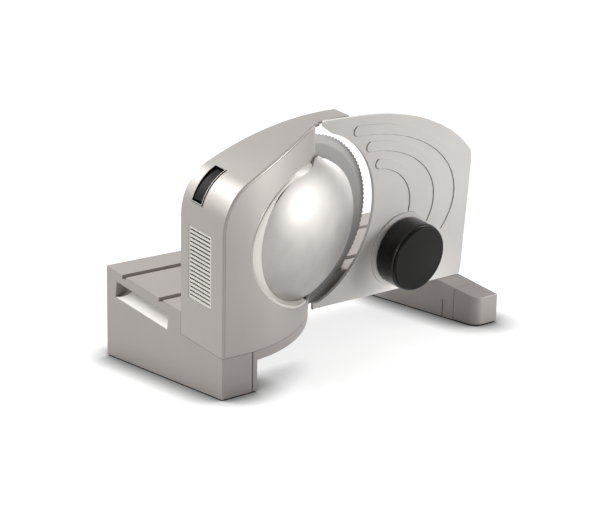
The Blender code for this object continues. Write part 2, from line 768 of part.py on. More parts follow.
# Base: left block, slice-side lip, deck bridge and right arm in one moulding, open below
LEFT_X = 0.0386
ARM_BLOCK_WIDE = 0.0304
RIGHT_X = LENGTH - ARM_BLOCK_WIDE
BASE_WALL = 0.0025
CAST_STEP = 0.00005
DECK_FRONT_V = 0.0084
SKIRT_W = 0.002
DECK_THICK = 0.0075
SHELF_THICK = 0.003
LIP_W = 0.0008
ARM_Y = 0.0075
CAP_Y = 0.0365
CAP_SEAM = 0.0004
LIP_BACK_V = 0.0056
LIP_SLOT_X = 0.076
STRIP_SLIT_LOW = 0.0327
STRIP_SLIT_HIGH = 0.0339
SLIT_DEPTH = 0.0018
ARM_SLIT_Y = 0.051
ARM_SLIT_HEIGHT = 0.018
GROOVE_FRONT_V = 0.0289
GROOVE_BACK = 0.0201
GROOVE_REAR_V = DEPTH - TILT_Y - GROOVE_BACK
GROOVE_WIDE = 0.006
GROOVE_DEPTH = 0.0035
GROOVE_STOP = 0.006
GROOVE_END = LENGTH - GROOVE_STOP
GRIP_FRONT_V = 0.0167
GRIP_BACK = 0.0104
GRIP_REAR_V = DEPTH - TILT_Y - GRIP_BACK
GRIP_W = (0.005, 0.0195)
GRIP_DEEP = 0.012
GRIP_SLOPE_SHARE = 0.45


def side_slab(name, ring, low, high, paint=None):
    return put(name, slab(name, [ring], low, high), paint, UPRIGHT, turn=SIDE)


def deck_ring(inset_front, inset_back, top_w, low_w):
    """The deck bridge's section in (Y, Z)."""
    front = DECK_FRONT_V + inset_front
    back = DEPTH - inset_back
    return [(y_at(front, low_w), z_at(front, low_w)), (back, z_on_w(back, low_w)),
            (back, z_on_w(back, top_w)), (y_at(front, top_w), z_at(front, top_w))]


def make_base():
    step_y = HOOD_Y + GAP
    front_w = SEAM_W - CAST_STEP
    left = [(0, FOOT_RISE), (DEPTH, FOOT_RISE), (DEPTH, z_on_w(DEPTH, DECK_W)),
            (step_y, z_on_w(step_y, DECK_W)), (step_y, z_on_w(step_y, front_w)), (0, z_on_w(0, front_w))]
    base = side_slab("base_frame", left, 0, LEFT_X, SILVER)
    deck_section = deck_ring(CAST_STEP, CAST_STEP, DECK_W - CAST_STEP, SKIRT_W)
    deck = side_slab("deck_bridge", deck_section, LEFT_X - OVERRUN, RIGHT_X + OVERRUN)
    front_y = y_at(DECK_FRONT_V, DECK_W)
    arm = [(CAP_Y + CAP_SEAM, FOOT_RISE), (DEPTH, FOOT_RISE), (DEPTH, z_on_w(DEPTH, DECK_W)),
           (front_y, z_on_w(front_y, DECK_W)), (y_at(DECK_FRONT_V, ARM_W), z_at(DECK_FRONT_V, ARM_W)),
           (CAP_Y + CAP_SEAM, z_on_w(CAP_Y + CAP_SEAM, ARM_W))]
    right = side_slab("right_block", arm, RIGHT_X, LENGTH)
    join(base, deck, right, make_lip())
    cut(base, *base_hollows())
    cut(base, tilt_block("plate_pocket", (BAND_WALL, v_on_y(HOOD_Y - OVERRUN, SEAM_W), SEAM_W + CAST_STEP),
                         (LEFT_X + OVERRUN, PLATE_V_HIGH + GAP, DECK_W + OVERRUN)))
    join(base, put("grip_tub", grip_mesh("grip_tub", BASE_WALL), None))
    cut(base, put("grip_pocket", grip_mesh("grip_pocket", 0), None))
    for i, middle in enumerate((GROOVE_FRONT_V, GROOVE_REAR_V)):
        cut(base, tilt_block("deck_groove_%d" % i, (-OVERRUN, middle - GROOVE_WIDE / 2, DECK_W - GROOVE_DEPTH),
                             (GROOVE_END, middle + GROOVE_WIDE / 2, DECK_W + OVERRUN)))
    slit = block("strip_slit", (STRIP_SLIT_LOW, -OVERRUN, -OVERRUN), (STRIP_SLIT_HIGH, SLIT_DEPTH, TILT_Y))
    arm_slit = block("arm_slit", (RIGHT_X - OVERRUN, ARM_SLIT_Y - SLIT_DEPTH / 2, -OVERRUN),
                     (RIGHT_X + SLIT_DEPTH, ARM_SLIT_Y + SLIT_DEPTH / 2, ARM_SLIT_HEIGHT))
    cut(base, put("strip_slit", slit, None, UPRIGHT), put("arm_slit", arm_slit, None, UPRIGHT))
    return base


def make_lip():
    """The shelf under the housing's side: its edge follows the side's bottom curve, its faces the tilt."""
    back_y = y_at(DECK_FRONT_V + OVERRUN, LIP_W)
    start = LEFT_X - OVERRUN
    ring = [(start, side_low_y(start))]
    steps = 24
    end = SIDE_FLAT + math.sqrt(SIDE_LOW_R ** 2 - (SIDE_LOW_R - y_at(LIP_BACK_V, SEAM_W)) ** 2)
    for i in range(1, steps + 1):
        x = start + (end - start) * i / steps
        ring.append((x, side_low_y(x)))
    ring += [(LIP_SLOT_X, ring[-1][1]), (LIP_SLOT_X, back_y), (start, back_y)]
    mesh = slab("base_lip", [ring], 0, 1)
    for vertex in mesh.vertices:
        vertex.co.z = z_on_w(vertex.co.y, SEAM_W if vertex.co.z > 1 / 2 else LIP_W)
    return put("base_lip", mesh, None, UPRIGHT)


def base_hollows():
    """Cutters for the hollow left block, deck and right arm, all open downwards."""
    wall = BASE_WALL
    step_y = y_at(PLATE_V_HIGH + GAP, SEAM_W) + wall
    shelf_w = SEAM_W - SHELF_THICK
    deck_w = DECK_W - DECK_THICK
    left = [(wall, -OVERRUN), (DEPTH - wall, -OVERRUN), (DEPTH - wall, z_on_w(DEPTH - wall, deck_w)),
            (step_y, z_on_w(step_y, deck_w)), (step_y, z_on_w(step_y, shelf_w)), (wall, z_on_w(wall, shelf_w))]
    front_y = y_at(DECK_FRONT_V + wall, deck_w)
    arm_w = ARM_W - SHELF_THICK
    low_y = CAP_Y + CAP_SEAM + wall
    right = [(low_y, -OVERRUN), (DEPTH - wall, -OVERRUN), (DEPTH - wall, z_on_w(DEPTH - wall, deck_w)),
             (front_y, z_on_w(front_y, deck_w)), (front_y, z_on_w(front_y, arm_w)), (low_y, z_on_w(low_y, arm_w))]
    return (side_slab("left_hollow", left, wall, LEFT_X - wall),
            side_slab("deck_hollow", deck_ring(wall, wall, deck_w, -OVERRUN), LEFT_X + wall, RIGHT_X - wall),
            side_slab("right_hollow", right, RIGHT_X + wall, LENGTH - wall))


def grip_mesh(name, wall):
    """The finger grip: a scooped pocket, or the tub around it when a wall is given."""
    low, high = GRIP_W[0] - wall, GRIP_W[1] + wall
    deep = GRIP_DEEP + wall
    start = -OVERRUN if wall == 0 else BASE_WALL / 2
    ring = [(start, low), (deep * GRIP_SLOPE_SHARE, low), (deep * (1 + GRIP_SLOPE_SHARE) / 2, low + (high - low) / 6),
            (deep, low + (high - low) / 2), (deep, high), (start, high)]
    mesh = slab(name, [ring], -(GRIP_REAR_V + wall), -(GRIP_FRONT_V - wall))
    mesh.transform(Matrix.Rotation(math.pi / 2, 4, "X"))
    return mesh


base_frame = make_base()

# Arm end cap, covers below and feet
CAP_CORNER_R = 0.009
COVER_PLAY = 0.0004
COVER_SHEET = 0.002
COVER_RAISE = 0.0012
FOOT_R = 0.007
FOOT_HEIGHT = 0.0040
FOOT_PLACES_SHARE = (0.12, 0.90)
ARM_FOOT_PLACES_SHARE = (0.36, 0.90)


def make_arm_cap():
    corner = arc((RIGHT_X + CAP_CORNER_R, ARM_Y + CAP_CORNER_R), CAP_CORNER_R, 180, 270, 6)
    ring = [(RIGHT_X, CAP_Y)] + corner + [(LENGTH, ARM_Y), (LENGTH, CAP_Y)]
    mesh = slab("arm_end_cap", [ring], 0, 1)
    for vertex in mesh.vertices:
        vertex.co.z = z_on_w(vertex.co.y, ARM_W) if vertex.co.z > 1 / 2 else FOOT_RISE
    put("arm_end_cap", mesh, SILVER, UPRIGHT)


def make_cover(name, low, high, feet):
    """A bottom cover inside a block's walls, with a hole for each foot."""
    rings = [box_ring(low, high, BASE_WALL, 2)]
    rings += [circle(foot, FOOT_R - COVER_SHEET, 20) for foot in feet]
    put(name, slab(name, rings, FOOT_RISE + COVER_RAISE, FOOT_RISE + COVER_RAISE + COVER_SHEET), DARK_PLASTIC, UPRIGHT)


def make_feet():
    """Rubber feet with a neck that snaps into the bottom covers."""
    play = BASE_WALL + COVER_PLAY
    left_x, right_x = LEFT_X / 2, (RIGHT_X + LENGTH) / 2
    left = [(left_x, DEPTH * share) for share in FOOT_PLACES_SHARE]
    right = [(right_x, DEPTH * share) for share in ARM_FOOT_PLACES_SHARE]
    make_cover("left_bottom_cover", (play, play), (LEFT_X - play, DEPTH - play), left)
    make_cover("right_bottom_cover", (RIGHT_X + play, CAP_Y + CAP_SEAM + play), (LENGTH - play, DEPTH - play), right)
    cover_low = FOOT_RISE + COVER_RAISE
    neck = FOOT_R - COVER_SHEET - GAP
    profile = [(0, cover_low + COVER_SHEET + GAP), (neck, cover_low + COVER_SHEET + GAP), (neck, cover_low - GAP),
               (FOOT_R, cover_low - GAP), (FOOT_R - FOOT_RISE / 2, 0), (0, 0)]
    names = ("foot_front_left", "foot_rear_left", "foot_front_right", "foot_rear_right")
    for name, (x, y) in zip(names, left + right):
        put_turned(name, profile, RUBBER, UPRIGHT, (x, y, 0), PLAN, 20)


def make_deck_cover():
    wall = BASE_WALL + COVER_PLAY
    low = SKIRT_W + COVER_PLAY
    ring = deck_ring(wall, wall, low + COVER_SHEET, low)
    side_slab("deck_bottom_cover", ring, LEFT_X + wall, RIGHT_X - wall, DARK_PLASTIC)


make_arm_cap()
make_feet()
make_deck_cover()

# Mains lead's gland in the back of the left block
GLAND_R = 0.007
GLAND_BORE = 0.0031
GLAND_FLANGE = 0.0092
GLAND_DEEP = 0.010
GLAND_Z = 0.022


def make_gland():
    place = (LEFT_X / 2, DEPTH, GLAND_Z)
    hole = rod("gland_hole", GLAND_R + GAP, -DEPTH / 8, OVERRUN, sides=32)
    cut(base_frame, put("gland_hole", hole, None, UPRIGHT, place, ALONG_V))
    wall = BASE_WALL
    profile = [(0, -GLAND_DEEP + wall / 2), (GLAND_BORE, -GLAND_DEEP + wall / 2), (GLAND_BORE, 0), (GLAND_R, 0),
               (GLAND_R, -wall - GAP), (GLAND_FLANGE, -wall - GAP), (GLAND_FLANGE, -wall * 2),
               (GLAND_R, -wall * 2), (GLAND_R, -GLAND_DEEP), (0, -GLAND_DEEP)]
    put_turned("cord_gland", profile, BLACK, UPRIGHT, place, ALONG_V, 32)


make_gland()

# Gears: involute teeth
PRESSURE = math.radians(20)
MODULE = 0.0015
ADDENDUM_SHARE = 0.80
DEDENDUM_SHARE = 1.10
BACKLASH = 0.00035
GEAR_TEETH = 60
GEAR_HOLE_SHARES = (0.55, 0.2)
PINION_TEETH = 12
WHEEL_TEETH = 30
GEAR_WIDE = 0.006
GEAR_FRONT = -0.0066


def gear_ring(teeth, turn=0.0, flank_steps=3):
    """The outline of an involute gear with a tooth centred on direction turn."""
    pitch_r = MODULE * teeth / 2
    base_r = pitch_r * math.cos(PRESSURE)
    tip_r = pitch_r + ADDENDUM_SHARE * MODULE
    root_r = pitch_r - DEDENDUM_SHARE * MODULE
    half = math.pi / (2 * teeth) - BACKLASH / (4 * pitch_r)

    def half_angle(radius):
        at_pitch = math.tan(PRESSURE) - PRESSURE
        if radius <= base_r:
            return half + at_pitch
        lean_angle = math.acos(base_r / radius)
        return half + at_pitch - (math.tan(lean_angle) - lean_angle)

    start_r = max(root_r, base_r)
    radii = [start_r + (tip_r - start_r) * i / (flank_steps - 1) for i in range(flank_steps)]
    ring = []
    for tooth in range(teeth):
        centre = turn + 2 * math.pi * tooth / teeth
        points = [(root_r, half_angle(start_r))] if root_r < start_r else []
        points += [(radius, half_angle(radius)) for radius in radii]
        for radius, angle in points:
            ring.append((radius * math.cos(centre - angle), radius * math.sin(centre - angle)))
        for radius, angle in reversed(points):
            ring.append((radius * math.cos(centre + angle), radius * math.sin(centre + angle)))
    return ring


# Blade with its hub, axle, lock and driven gear, all turning on the blade axis
BLADE_TEETH = 64
BLADE_STEPS = 2
SCALLOP = 0.0010
EDGE_LAND = 0.0002
GRIND_R = 0.077
BLADE_HOLE = 0.015
HUB_R = 0.024
HUB_THICK = 0.0014
LOCK_R = 0.020
LOCK_V = (0.0082, 0.0096)
LOCK_SLOT = 0.003
AXLE_START = -0.0098
BUSH_START = -0.0003
blade_axis = empty("blade_axis", (BLADE_X, 0, BLADE_W), parent=TILTED)


def make_blade():
    """A disc ground from the slice side to a scalloped edge."""
    count = BLADE_TEETH * BLADE_STEPS
    bm = bmesh.new()
    rings = [[], [], [], [], []]
    for i in range(count):
        angle = 2 * math.pi * i / count
        dip = SCALLOP * (1 if i % BLADE_STEPS == 0 else 0)
        profile = ((BLADE_HOLE, BLADE_BACK), (BLADE_R - dip, BLADE_BACK), (BLADE_R - dip, BLADE_BACK - EDGE_LAND),
                   (GRIND_R, BLADE_FRONT), (BLADE_HOLE, BLADE_FRONT))
        for ring, (radius, v) in zip(rings, profile):
            ring.append(bm.verts.new((radius * math.cos(angle), v, radius * math.sin(angle))))
    for near, far in zip(rings, rings[1:] + rings[:1]):
        for i in range(count):
            j = (i + 1) % count
            bm.faces.new((near[i], near[j], far[j], far[i]))
    put("blade", mesh_from(bm, "blade"), BLADE_STEEL, blade_axis)


def make_blade_drive():
    hub_low = PLATE_V_HIGH + GAP
    play = AXLE_R + GAP
    hub = [(play, BLADE_BACK), (BLADE_HOLE - GAP, BLADE_BACK), (BLADE_HOLE - GAP, BLADE_FRONT - GAP),
           (HUB_R, BLADE_FRONT - GAP), (HUB_R, hub_low), (play, hub_low)]
    put_turned("blade_hub", hub, GEAR_PLASTIC, blade_axis, (0, 0, 0), ALONG_V, 40)
    axle = rod("blade_axle", AXLE_R, AXLE_START, BLADE_BACK, sides=32)
    put("blade_axle", axle, STEEL, blade_axis, turn=ALONG_V)
    bush = [(play, PLATE_V_HIGH), (AXLE_BUSH_R, PLATE_V_HIGH), (AXLE_BUSH_R, BUSH_START), (play, BUSH_START)]
    put_turned("axle_bush", bush, BRONZE, TILTED, (BLADE_X, 0, BLADE_W), ALONG_V, 32)
    holes = [circle((0, 0), play, 24)]
    reach = MODULE * GEAR_TEETH / 2
    for i in range(5):
        angle = 2 * math.pi * i / 5
        middle = (reach * math.cos(angle) * GEAR_HOLE_SHARES[0], reach * math.sin(angle) * GEAR_HOLE_SHARES[0])
        holes.append(circle(middle, reach * GEAR_HOLE_SHARES[1], 16))
    ring = gear_ring(GEAR_TEETH, flank_steps=2)
    gear = slab("blade_gear", [ring] + holes, -(GEAR_FRONT + GEAR_WIDE), -GEAR_FRONT)
    put("blade_gear", gear, GEAR_PLASTIC, blade_axis, turn=FACE)
    slot = block("lock_slot", (-LOCK_R * 0.8, LOCK_V[1] - HUB_THICK / 2, -LOCK_SLOT / 2),
                 (LOCK_R * 0.8, LOCK_V[1] + OVERRUN, LOCK_SLOT / 2))
    lock = put("blade_lock", rod("blade_lock", LOCK_R, LOCK_V[0], LOCK_V[1], sides=40), BLACK, blade_axis,
               turn=ALONG_V)
    cut(lock, put("lock_slot", slot, None, blade_axis))


make_blade()
make_blade_drive()

# Idler shaft with pinion and worm wheel, the worm and the motor
IDLER_R = 0.004
WHEEL_V = (-0.0245, -0.0195)
IDLER_V = (-0.0275, 0.0042)
WORM_R = 0.006
WORM_W = (0.0778, 0.0924)
WORM_SHAFT_R = 0.003
WORM_AXIS_V = -0.022
WORM_CLEAR = 0.0004
MOTOR_R = 0.0165
MOTOR_W = (SEAM_W + GAP, 0.052)
BRACKET_THICK = 0.0024
BRACKET_SHARE = 0.5
BEARING_HALF = 0.0052
BEARING_W = (0.0952, 0.1012)
WORM_STEPS = 14
WORM_LEVELS = 10
THREAD_SHARES = (0.34, 0.74)
IDLER_X = BLADE_X - MODULE * (GEAR_TEETH + PINION_TEETH) / 2
WORM_X = IDLER_X - MODULE * WHEEL_TEETH / 2 - WORM_R
idler_axis = empty("idler_axis", (IDLER_X, 0, BLADE_W), parent=TILTED)
worm_axis = empty("worm_axis", (WORM_X, WORM_AXIS_V, 0), parent=TILTED)


def make_idler():
    play = IDLER_R + GAP
    pinion = slab("drive_pinion", [gear_ring(PINION_TEETH, math.pi / PINION_TEETH), circle((0, 0), play, 24)],
                  -(GEAR_FRONT + GEAR_WIDE), -GEAR_FRONT)
    put("drive_pinion", pinion, STEEL, idler_axis, turn=FACE)
    wheel = slab("worm_wheel", [gear_ring(WHEEL_TEETH, flank_steps=2), circle((0, 0), play, 24)], -WHEEL_V[1], -WHEEL_V[0])
    wheel_r = MODULE * WHEEL_TEETH / 2
    lead = math.atan(MODULE / (2 * WORM_R))
    middle = -(WHEEL_V[0] + WHEEL_V[1]) / 2
    for vertex in wheel.vertices:
        twist = (vertex.co.z - middle) * math.tan(lead) / wheel_r
        if vertex.co.xy.length > wheel_r / 2:
            vertex.co.xy = Matrix.Rotation(twist, 2) @ vertex.co.xy
    put("worm_wheel", wheel, GEAR_PLASTIC, idler_axis, turn=FACE)
    put("idler_shaft", rod("idler_shaft", IDLER_R, IDLER_V[0], IDLER_V[1]), STEEL, idler_axis, turn=ALONG_V)
    bore = rod("idler_bore", IDLER_R + GAP, IDLER_V[0] - OVERRUN, PLATE_V_HIGH + OVERRUN)
    cut(drive_plate, put("idler_bore", bore, None, idler_axis, turn=ALONG_V))


def make_worm():
    """A bar whose radius follows one helical thread."""
    lead = math.pi * MODULE
    low, high = WORM_W
    levels = round((high - low) / lead * WORM_LEVELS)
    crest = WORM_R + ADDENDUM_SHARE * MODULE - WORM_CLEAR
    root = WORM_R - MODULE
    rings = []
    for k in range(levels + 1):
        w = low + (high - low) * k / levels
        ring = []
        for i in range(WORM_STEPS):
            phase = ((w - BLADE_W) / lead - i / WORM_STEPS) % 1
            height = 1 - abs(2 * phase - 1)
            share = min(max((height - THREAD_SHARES[0]) / (THREAD_SHARES[1] - THREAD_SHARES[0]), 0), 1)
            radius = root + (crest - root) * share
            angle = 2 * math.pi * i / WORM_STEPS
            ring.append((radius * math.cos(angle), radius * math.sin(angle), w))
        rings.append(ring)
    return loft("worm", rings)


def make_motor():
    worm = put("worm", make_worm(), STEEL, worm_axis)
    bore = rod("worm_bore", WORM_SHAFT_R + GAP, WORM_W[0] - OVERRUN, WORM_W[1] + OVERRUN, sides=24)
    cut(worm, put("worm_bore", bore, None, worm_axis))
    shaft = rod("motor_shaft", WORM_SHAFT_R, MOTOR_W[1] + GAP, BEARING_W[1] - BRACKET_THICK / 2, sides=24)
    put("motor_shaft", shaft, STEEL, worm_axis)
    can = [(0, MOTOR_W[1]), (MOTOR_R - BRACKET_THICK / 2, MOTOR_W[1]), (MOTOR_R, MOTOR_W[1] - BRACKET_THICK / 2),
           (MOTOR_R, MOTOR_W[0]), (0, MOTOR_W[0])]
    put_turned("drive_motor", can, STEEL, TILTED, (WORM_X, WORM_AXIS_V, 0), PLAN, 32)
    make_motor_bracket()
    make_worm_bearing()


def make_motor_bracket():
    """An angle on the drive plate that holds the motor by its end face."""
    low = MOTOR_W[1] + GAP
    back = DOME_SEAT_V
    front = WORM_AXIS_V - MOTOR_R * BRACKET_SHARE
    right = WORM_X + MOTOR_R * BRACKET_SHARE
    ring = box_ring((WORM_X - MOTOR_R, -back), (right, -front), BRACKET_THICK, 2)
    mesh = slab("motor_bracket", [ring], low, low + BRACKET_THICK)
    mesh.transform(Matrix.Scale(-1, 4, (0, 1, 0)))
    mesh.flip_normals()
    bracket = put("motor_bracket", mesh, STEEL)
    flange = block("bracket_flange", (WORM_X - MOTOR_R, back - BRACKET_THICK, low + BRACKET_THICK / 2),
                   (right, back, low + MOTOR_R * BRACKET_SHARE))
    join(bracket, put("bracket_flange", flange, None))
    bore = rod("bracket_bore", WORM_SHAFT_R + 2 * GAP, low - OVERRUN, low + OVERRUN, sides=24)
    cut(bracket, put("bracket_bore", bore, None, worm_axis))


def make_worm_bearing():
    """A block on the drive plate that holds the worm shaft's free end."""
    front = WORM_AXIS_V - BEARING_HALF
    low = (WORM_X - BEARING_HALF, front, BEARING_W[0])
    bearing = put("worm_bearing", block("worm_bearing", low, (WORM_X + BEARING_HALF, DOME_SEAT_V, BEARING_W[1])),
                  GEAR_PLASTIC)
    bore = rod("bearing_bore", WORM_SHAFT_R + GAP, BEARING_W[0] - OVERRUN, BEARING_W[1] - BRACKET_THICK / 4, sides=24)
    cut(bearing, put("bearing_bore", bore, None, worm_axis))


BRIDGE_REACH = 0.0275
BRIDGE_HALF = 0.0065
BRIDGE_FRONT = -0.0285


def make_gear_bracket():
    """A bridge over the worm wheel that carries the idler shaft's front end."""
    outer = BRIDGE_REACH + BRACKET_THICK
    back = DOME_SEAT_V
    inner = BRIDGE_FRONT + BRACKET_THICK
    ring = [(BRIDGE_FRONT, -outer), (BRIDGE_FRONT, outer), (back, outer), (back, BRIDGE_REACH),
            (inner, BRIDGE_REACH), (inner, -BRIDGE_REACH), (back, -BRIDGE_REACH), (back, -outer)]
    bridge = put("gear_bracket", slab("gear_bracket", [ring], -BRIDGE_HALF, BRIDGE_HALF), STEEL, TILTED,
                 (IDLER_X, 0, BLADE_W), SIDE)
    bore = rod("bridge_bore", IDLER_R + GAP, BRIDGE_FRONT - OVERRUN, BRIDGE_FRONT + OVERRUN)
    cut(bridge, put("bridge_bore", bore, None, idler_axis, turn=ALONG_V))


make_idler()
make_motor()
make_gear_bracket()

# Stop plate with its three pressed ribs
STOP_THICK = 0.003
STOP_ARC_R = 0.087
STOP_ARC = (0.003, 0.0005)
STOP_TIP = (0.0316, -0.0857)
STOP_HEEL = (0.0305, -0.0795)
STOP_LEAD = (0.025, 0.0123, 0.0116)
STOP_LEAD_S = (0.0925, 0.0963)
STOP_TOP_S = 0.0977
STOP_SHOULDER_X = 0.055
STOP_SHOULDER_SEMI = 0.178
STOP_SHOULDER_END = 28
STOP_RIGHT = (0.2150, 0.036)
STOP_CORNER = (0.2262, -0.071)
STOP_CORNER_R = 0.014
STOP_FOOT_S = -0.0848
RIB_RAISE = 0.0008
RIB_WIDE = 0.0095
RIBS = ((0.060, 0.0, 0.1380, 0.0790, 0.055, -0.030), (0.075, 0.0, 0.0950, 0.0620, 0.074, -0.019),
        (0.085, 0.0, 0.0530, 0.0440, 0.089, -0.009))
KNOB_X = 0.259
KNOB_W = 0.043
PIN_REACH = 0.026
CAM_PIN_R = 0.0022
stop_frame = empty("stop_plate_frame", parent=TILTED)


def stop_ring():
    """The stop plate's outline about the blade axis: a hollow arc round the blade and a falling shoulder."""
    start = math.degrees(math.atan2(STOP_HEEL[1] - STOP_ARC[1], STOP_HEEL[0] - STOP_ARC[0]))
    lead_angle = math.degrees(math.acos((STOP_LEAD[0] - STOP_ARC[0]) / STOP_ARC_R))
    ring = [STOP_TIP, STOP_HEEL] + arc(STOP_ARC, STOP_ARC_R, start, lead_angle, 36)[1:]
    ring += [(STOP_LEAD[1], STOP_LEAD_S[0]), (STOP_LEAD[2], STOP_LEAD_S[1]), (STOP_LEAD[1], STOP_TOP_S)]
    shoulder = arc((STOP_SHOULDER_X, 0), STOP_SHOULDER_SEMI, 90, STOP_SHOULDER_END, 20,
                   STOP_TOP_S / STOP_SHOULDER_SEMI)
    ring += shoulder + [STOP_RIGHT]
    corner = (STOP_CORNER[0] - STOP_CORNER_R, STOP_FOOT_S + STOP_CORNER_R)
    ring += arc(corner, STOP_CORNER_R, 6, -90, 8)
    ring.append((STOP_TIP[0], STOP_FOOT_S))
    return [(BLADE_X + x, BLADE_W + s) for x, s in ring]


def rib_ring(cx, cy, semi_x, semi_y, start_x, end_s):
    """A band between two ovals, with a round left end, that stops at a level on the right."""
    def oval(grow, first, last, steps):
        wide, tall = semi_x + grow, semi_y + grow
        return [(cx + wide * math.cos(first + (last - first) * i / steps),
                 cy + tall * math.sin(first + (last - first) * i / steps)) for i in range(steps + 1)]
    def turns(grow):
        first = math.acos(min((start_x - cx) / (semi_x + grow), 1))
        return first, math.asin(end_s / (semi_y + grow))
    outer_first, outer_last = turns(RIB_WIDE)
    inner_first, inner_last = turns(0)
    outer = oval(RIB_WIDE, outer_first, outer_last, 16)
    inner = list(reversed(oval(0, inner_first, inner_last, 16)))
    top, low = outer[0], inner[-1]
    middle = ((top[0] + low[0]) / 2, (top[1] + low[1]) / 2)
    radius = math.dist(top, low) / 2
    start = math.degrees(math.atan2(low[1] - middle[1], low[0] - middle[0])) % 360
    end = arc(middle, radius, start, start - 180, 6)[1:-1]
    return [(BLADE_X + x, BLADE_W + s) for x, s in outer + inner + end]


def make_stop_plate():
    pin_hole = circle((KNOB_X, KNOB_W - PIN_REACH), CAM_PIN_R + 3 * GAP, 20)
    axle_hole = circle((KNOB_X, KNOB_W), KNOB_AXLE_R + GAP, 24)
    plate = put("stop_plate", slab("stop_plate", [stop_ring(), pin_hole, axle_hole], -STOP_THICK, 0), SATIN_PLATE,
                stop_frame, turn=FACE)
    seat = put("dial_seat", rod("dial_seat", DIAL_R + GAP, -STOP_THICK, STOP_THICK, (KNOB_X, KNOB_W), 64), None,
               stop_frame, turn=FACE)
    for i, rib in enumerate(RIBS):
        band = put("rib_%d" % i, slab("rib_%d" % i, [rib_ring(*rib)], -STOP_THICK / 2, RIB_RAISE), None,
                   stop_frame, turn=FACE)
        cut(band, seat)
        join(plate, band)
    return plate


# Thickness knob on a stud in the plate, its helical cam and the fixed pin that it works against
KNOB_AXLE_R = 0.005
KNOB_R = 0.033
KNOB_BACK = 0.0026
KNOB_FRONT = 0.0246
KNOB_CAP_BACK = 0.0251
KNOB_CAP_FRONT = 0.0286
KNOB_CAP_R = 0.032
KNOB_EDGE = 0.0015
DIAL_R = 0.037
DIAL_THICK = 0.002
CAM_INNER = 0.0228
CAM_OUTER = 0.0292
CAM_TURN = 270
CAM_TRAVEL = 0.020
CAM_CLOSE = 0.0049
CAM_SPARE_TURN = 9
CAM_FLOOR_PLAY = 0.0009
PIN_TIP = 0.018
AXLE_HEAD_R = 0.008
AXLE_HEAD = 0.0012
knob_axis = empty("knob_axis", (KNOB_X, 0, KNOB_W), parent=stop_frame)


def cam_depth(turn):
    """Depth of the cam's floor, turn degrees on from the place that the pin meets at rest."""
    open_turn = CAM_TURN * (CAM_TRAVEL - CAM_CLOSE) / CAM_TRAVEL
    close_turn = CAM_TURN - open_turn
    turn = min(max(turn, -close_turn), open_turn)
    return PIN_TIP + CAM_FLOOR_PLAY - CAM_TRAVEL * turn / CAM_TURN


def make_cam():
    """Cutter for the annular groove whose floor climbs as a helix."""
    open_turn = CAM_TURN * (CAM_TRAVEL - CAM_CLOSE) / CAM_TRAVEL + CAM_SPARE_TURN
    close_turn = CAM_TURN + 2 * CAM_SPARE_TURN - open_turn
    steps = 36
    sections = []
    for i in range(steps + 1):
        turn = -close_turn + (open_turn + close_turn) * i / steps
        angle = math.radians(turn - 90)
        depth = cam_depth(turn)
        along = (math.cos(angle), math.sin(angle))
        sections.append([(radius * along[0], -level, radius * along[1])
                         for radius, level in ((CAM_INNER, -OVERRUN), (CAM_OUTER, -OVERRUN), (CAM_OUTER, depth),
                                               (CAM_INNER, depth))])
    return put("cam_groove", loft("cam_groove", sections), None, knob_axis)


def make_knob():
    bore = KNOB_AXLE_R + GAP
    floor = KNOB_FRONT - 2 * STOP_THICK / 3
    body = [(0, KNOB_FRONT), (KNOB_R - KNOB_EDGE, KNOB_FRONT), (KNOB_R, KNOB_FRONT - KNOB_EDGE),
            (KNOB_R, KNOB_BACK + KNOB_EDGE), (KNOB_R - KNOB_EDGE, KNOB_BACK), (bore, KNOB_BACK), (bore, floor),
            (0, floor)]
    knob = put_turned("knob_body", body, BLACK, knob_axis, (0, 0, 0), FACE, 48)
    cut(knob, make_cam())
    cap = [(0, KNOB_CAP_FRONT), (KNOB_CAP_R * 0.5, KNOB_CAP_FRONT - KNOB_EDGE * 0.25),
           (KNOB_CAP_R - 2 * KNOB_EDGE, KNOB_CAP_FRONT - KNOB_EDGE * 0.8),
           (KNOB_CAP_R - KNOB_EDGE, KNOB_CAP_FRONT - KNOB_EDGE * 0.6),
           (KNOB_CAP_R, KNOB_CAP_FRONT - KNOB_EDGE * 1.5), (KNOB_CAP_R, KNOB_CAP_BACK), (0, KNOB_CAP_BACK)]
    put_turned("knob_cap", cap, BLACK, knob_axis, (0, 0, 0), FACE, 48)


def make_knob_seat():
    play = KNOB_AXLE_R + GAP
    stud = [(0, floor_of_stud()), (KNOB_AXLE_R, floor_of_stud()), (KNOB_AXLE_R, -STOP_THICK - GAP),
            (AXLE_HEAD_R, -STOP_THICK - GAP), (AXLE_HEAD_R, -STOP_THICK - GAP - AXLE_HEAD),
            (0, -STOP_THICK - GAP - AXLE_HEAD)]
    put_turned("knob_stud", stud, STEEL, stop_frame, (KNOB_X, 0, KNOB_W), FACE, 32)
    pin_hole = circle((0, -PIN_REACH), CAM_PIN_R + 3 * GAP, 20)
    dial = slab("dial_ring", [circle((0, 0), DIAL_R, 48), circle((0, 0), play, 24), pin_hole], GAP, GAP + DIAL_THICK)
    put("dial_ring", dial, DARK_PLASTIC, stop_frame, (KNOB_X, 0, KNOB_W), FACE)


def floor_of_stud():
    return KNOB_FRONT - 2 * STOP_THICK / 3 - GAP


make_stop_plate()
make_knob()
make_knob_seat()

# Fixed cam pin, guide rods on the plate and their bushes in the deck's front
PIN_BOSS = 0.004
PIN_ROOT_V = 0.020
ROD_R = 0.004
ROD_PLACES = (0.215, 0.300)
ROD_W = 0.0132
ROD_END = 0.060
BUSH_R = 0.0064
BUSH_END = 0.038


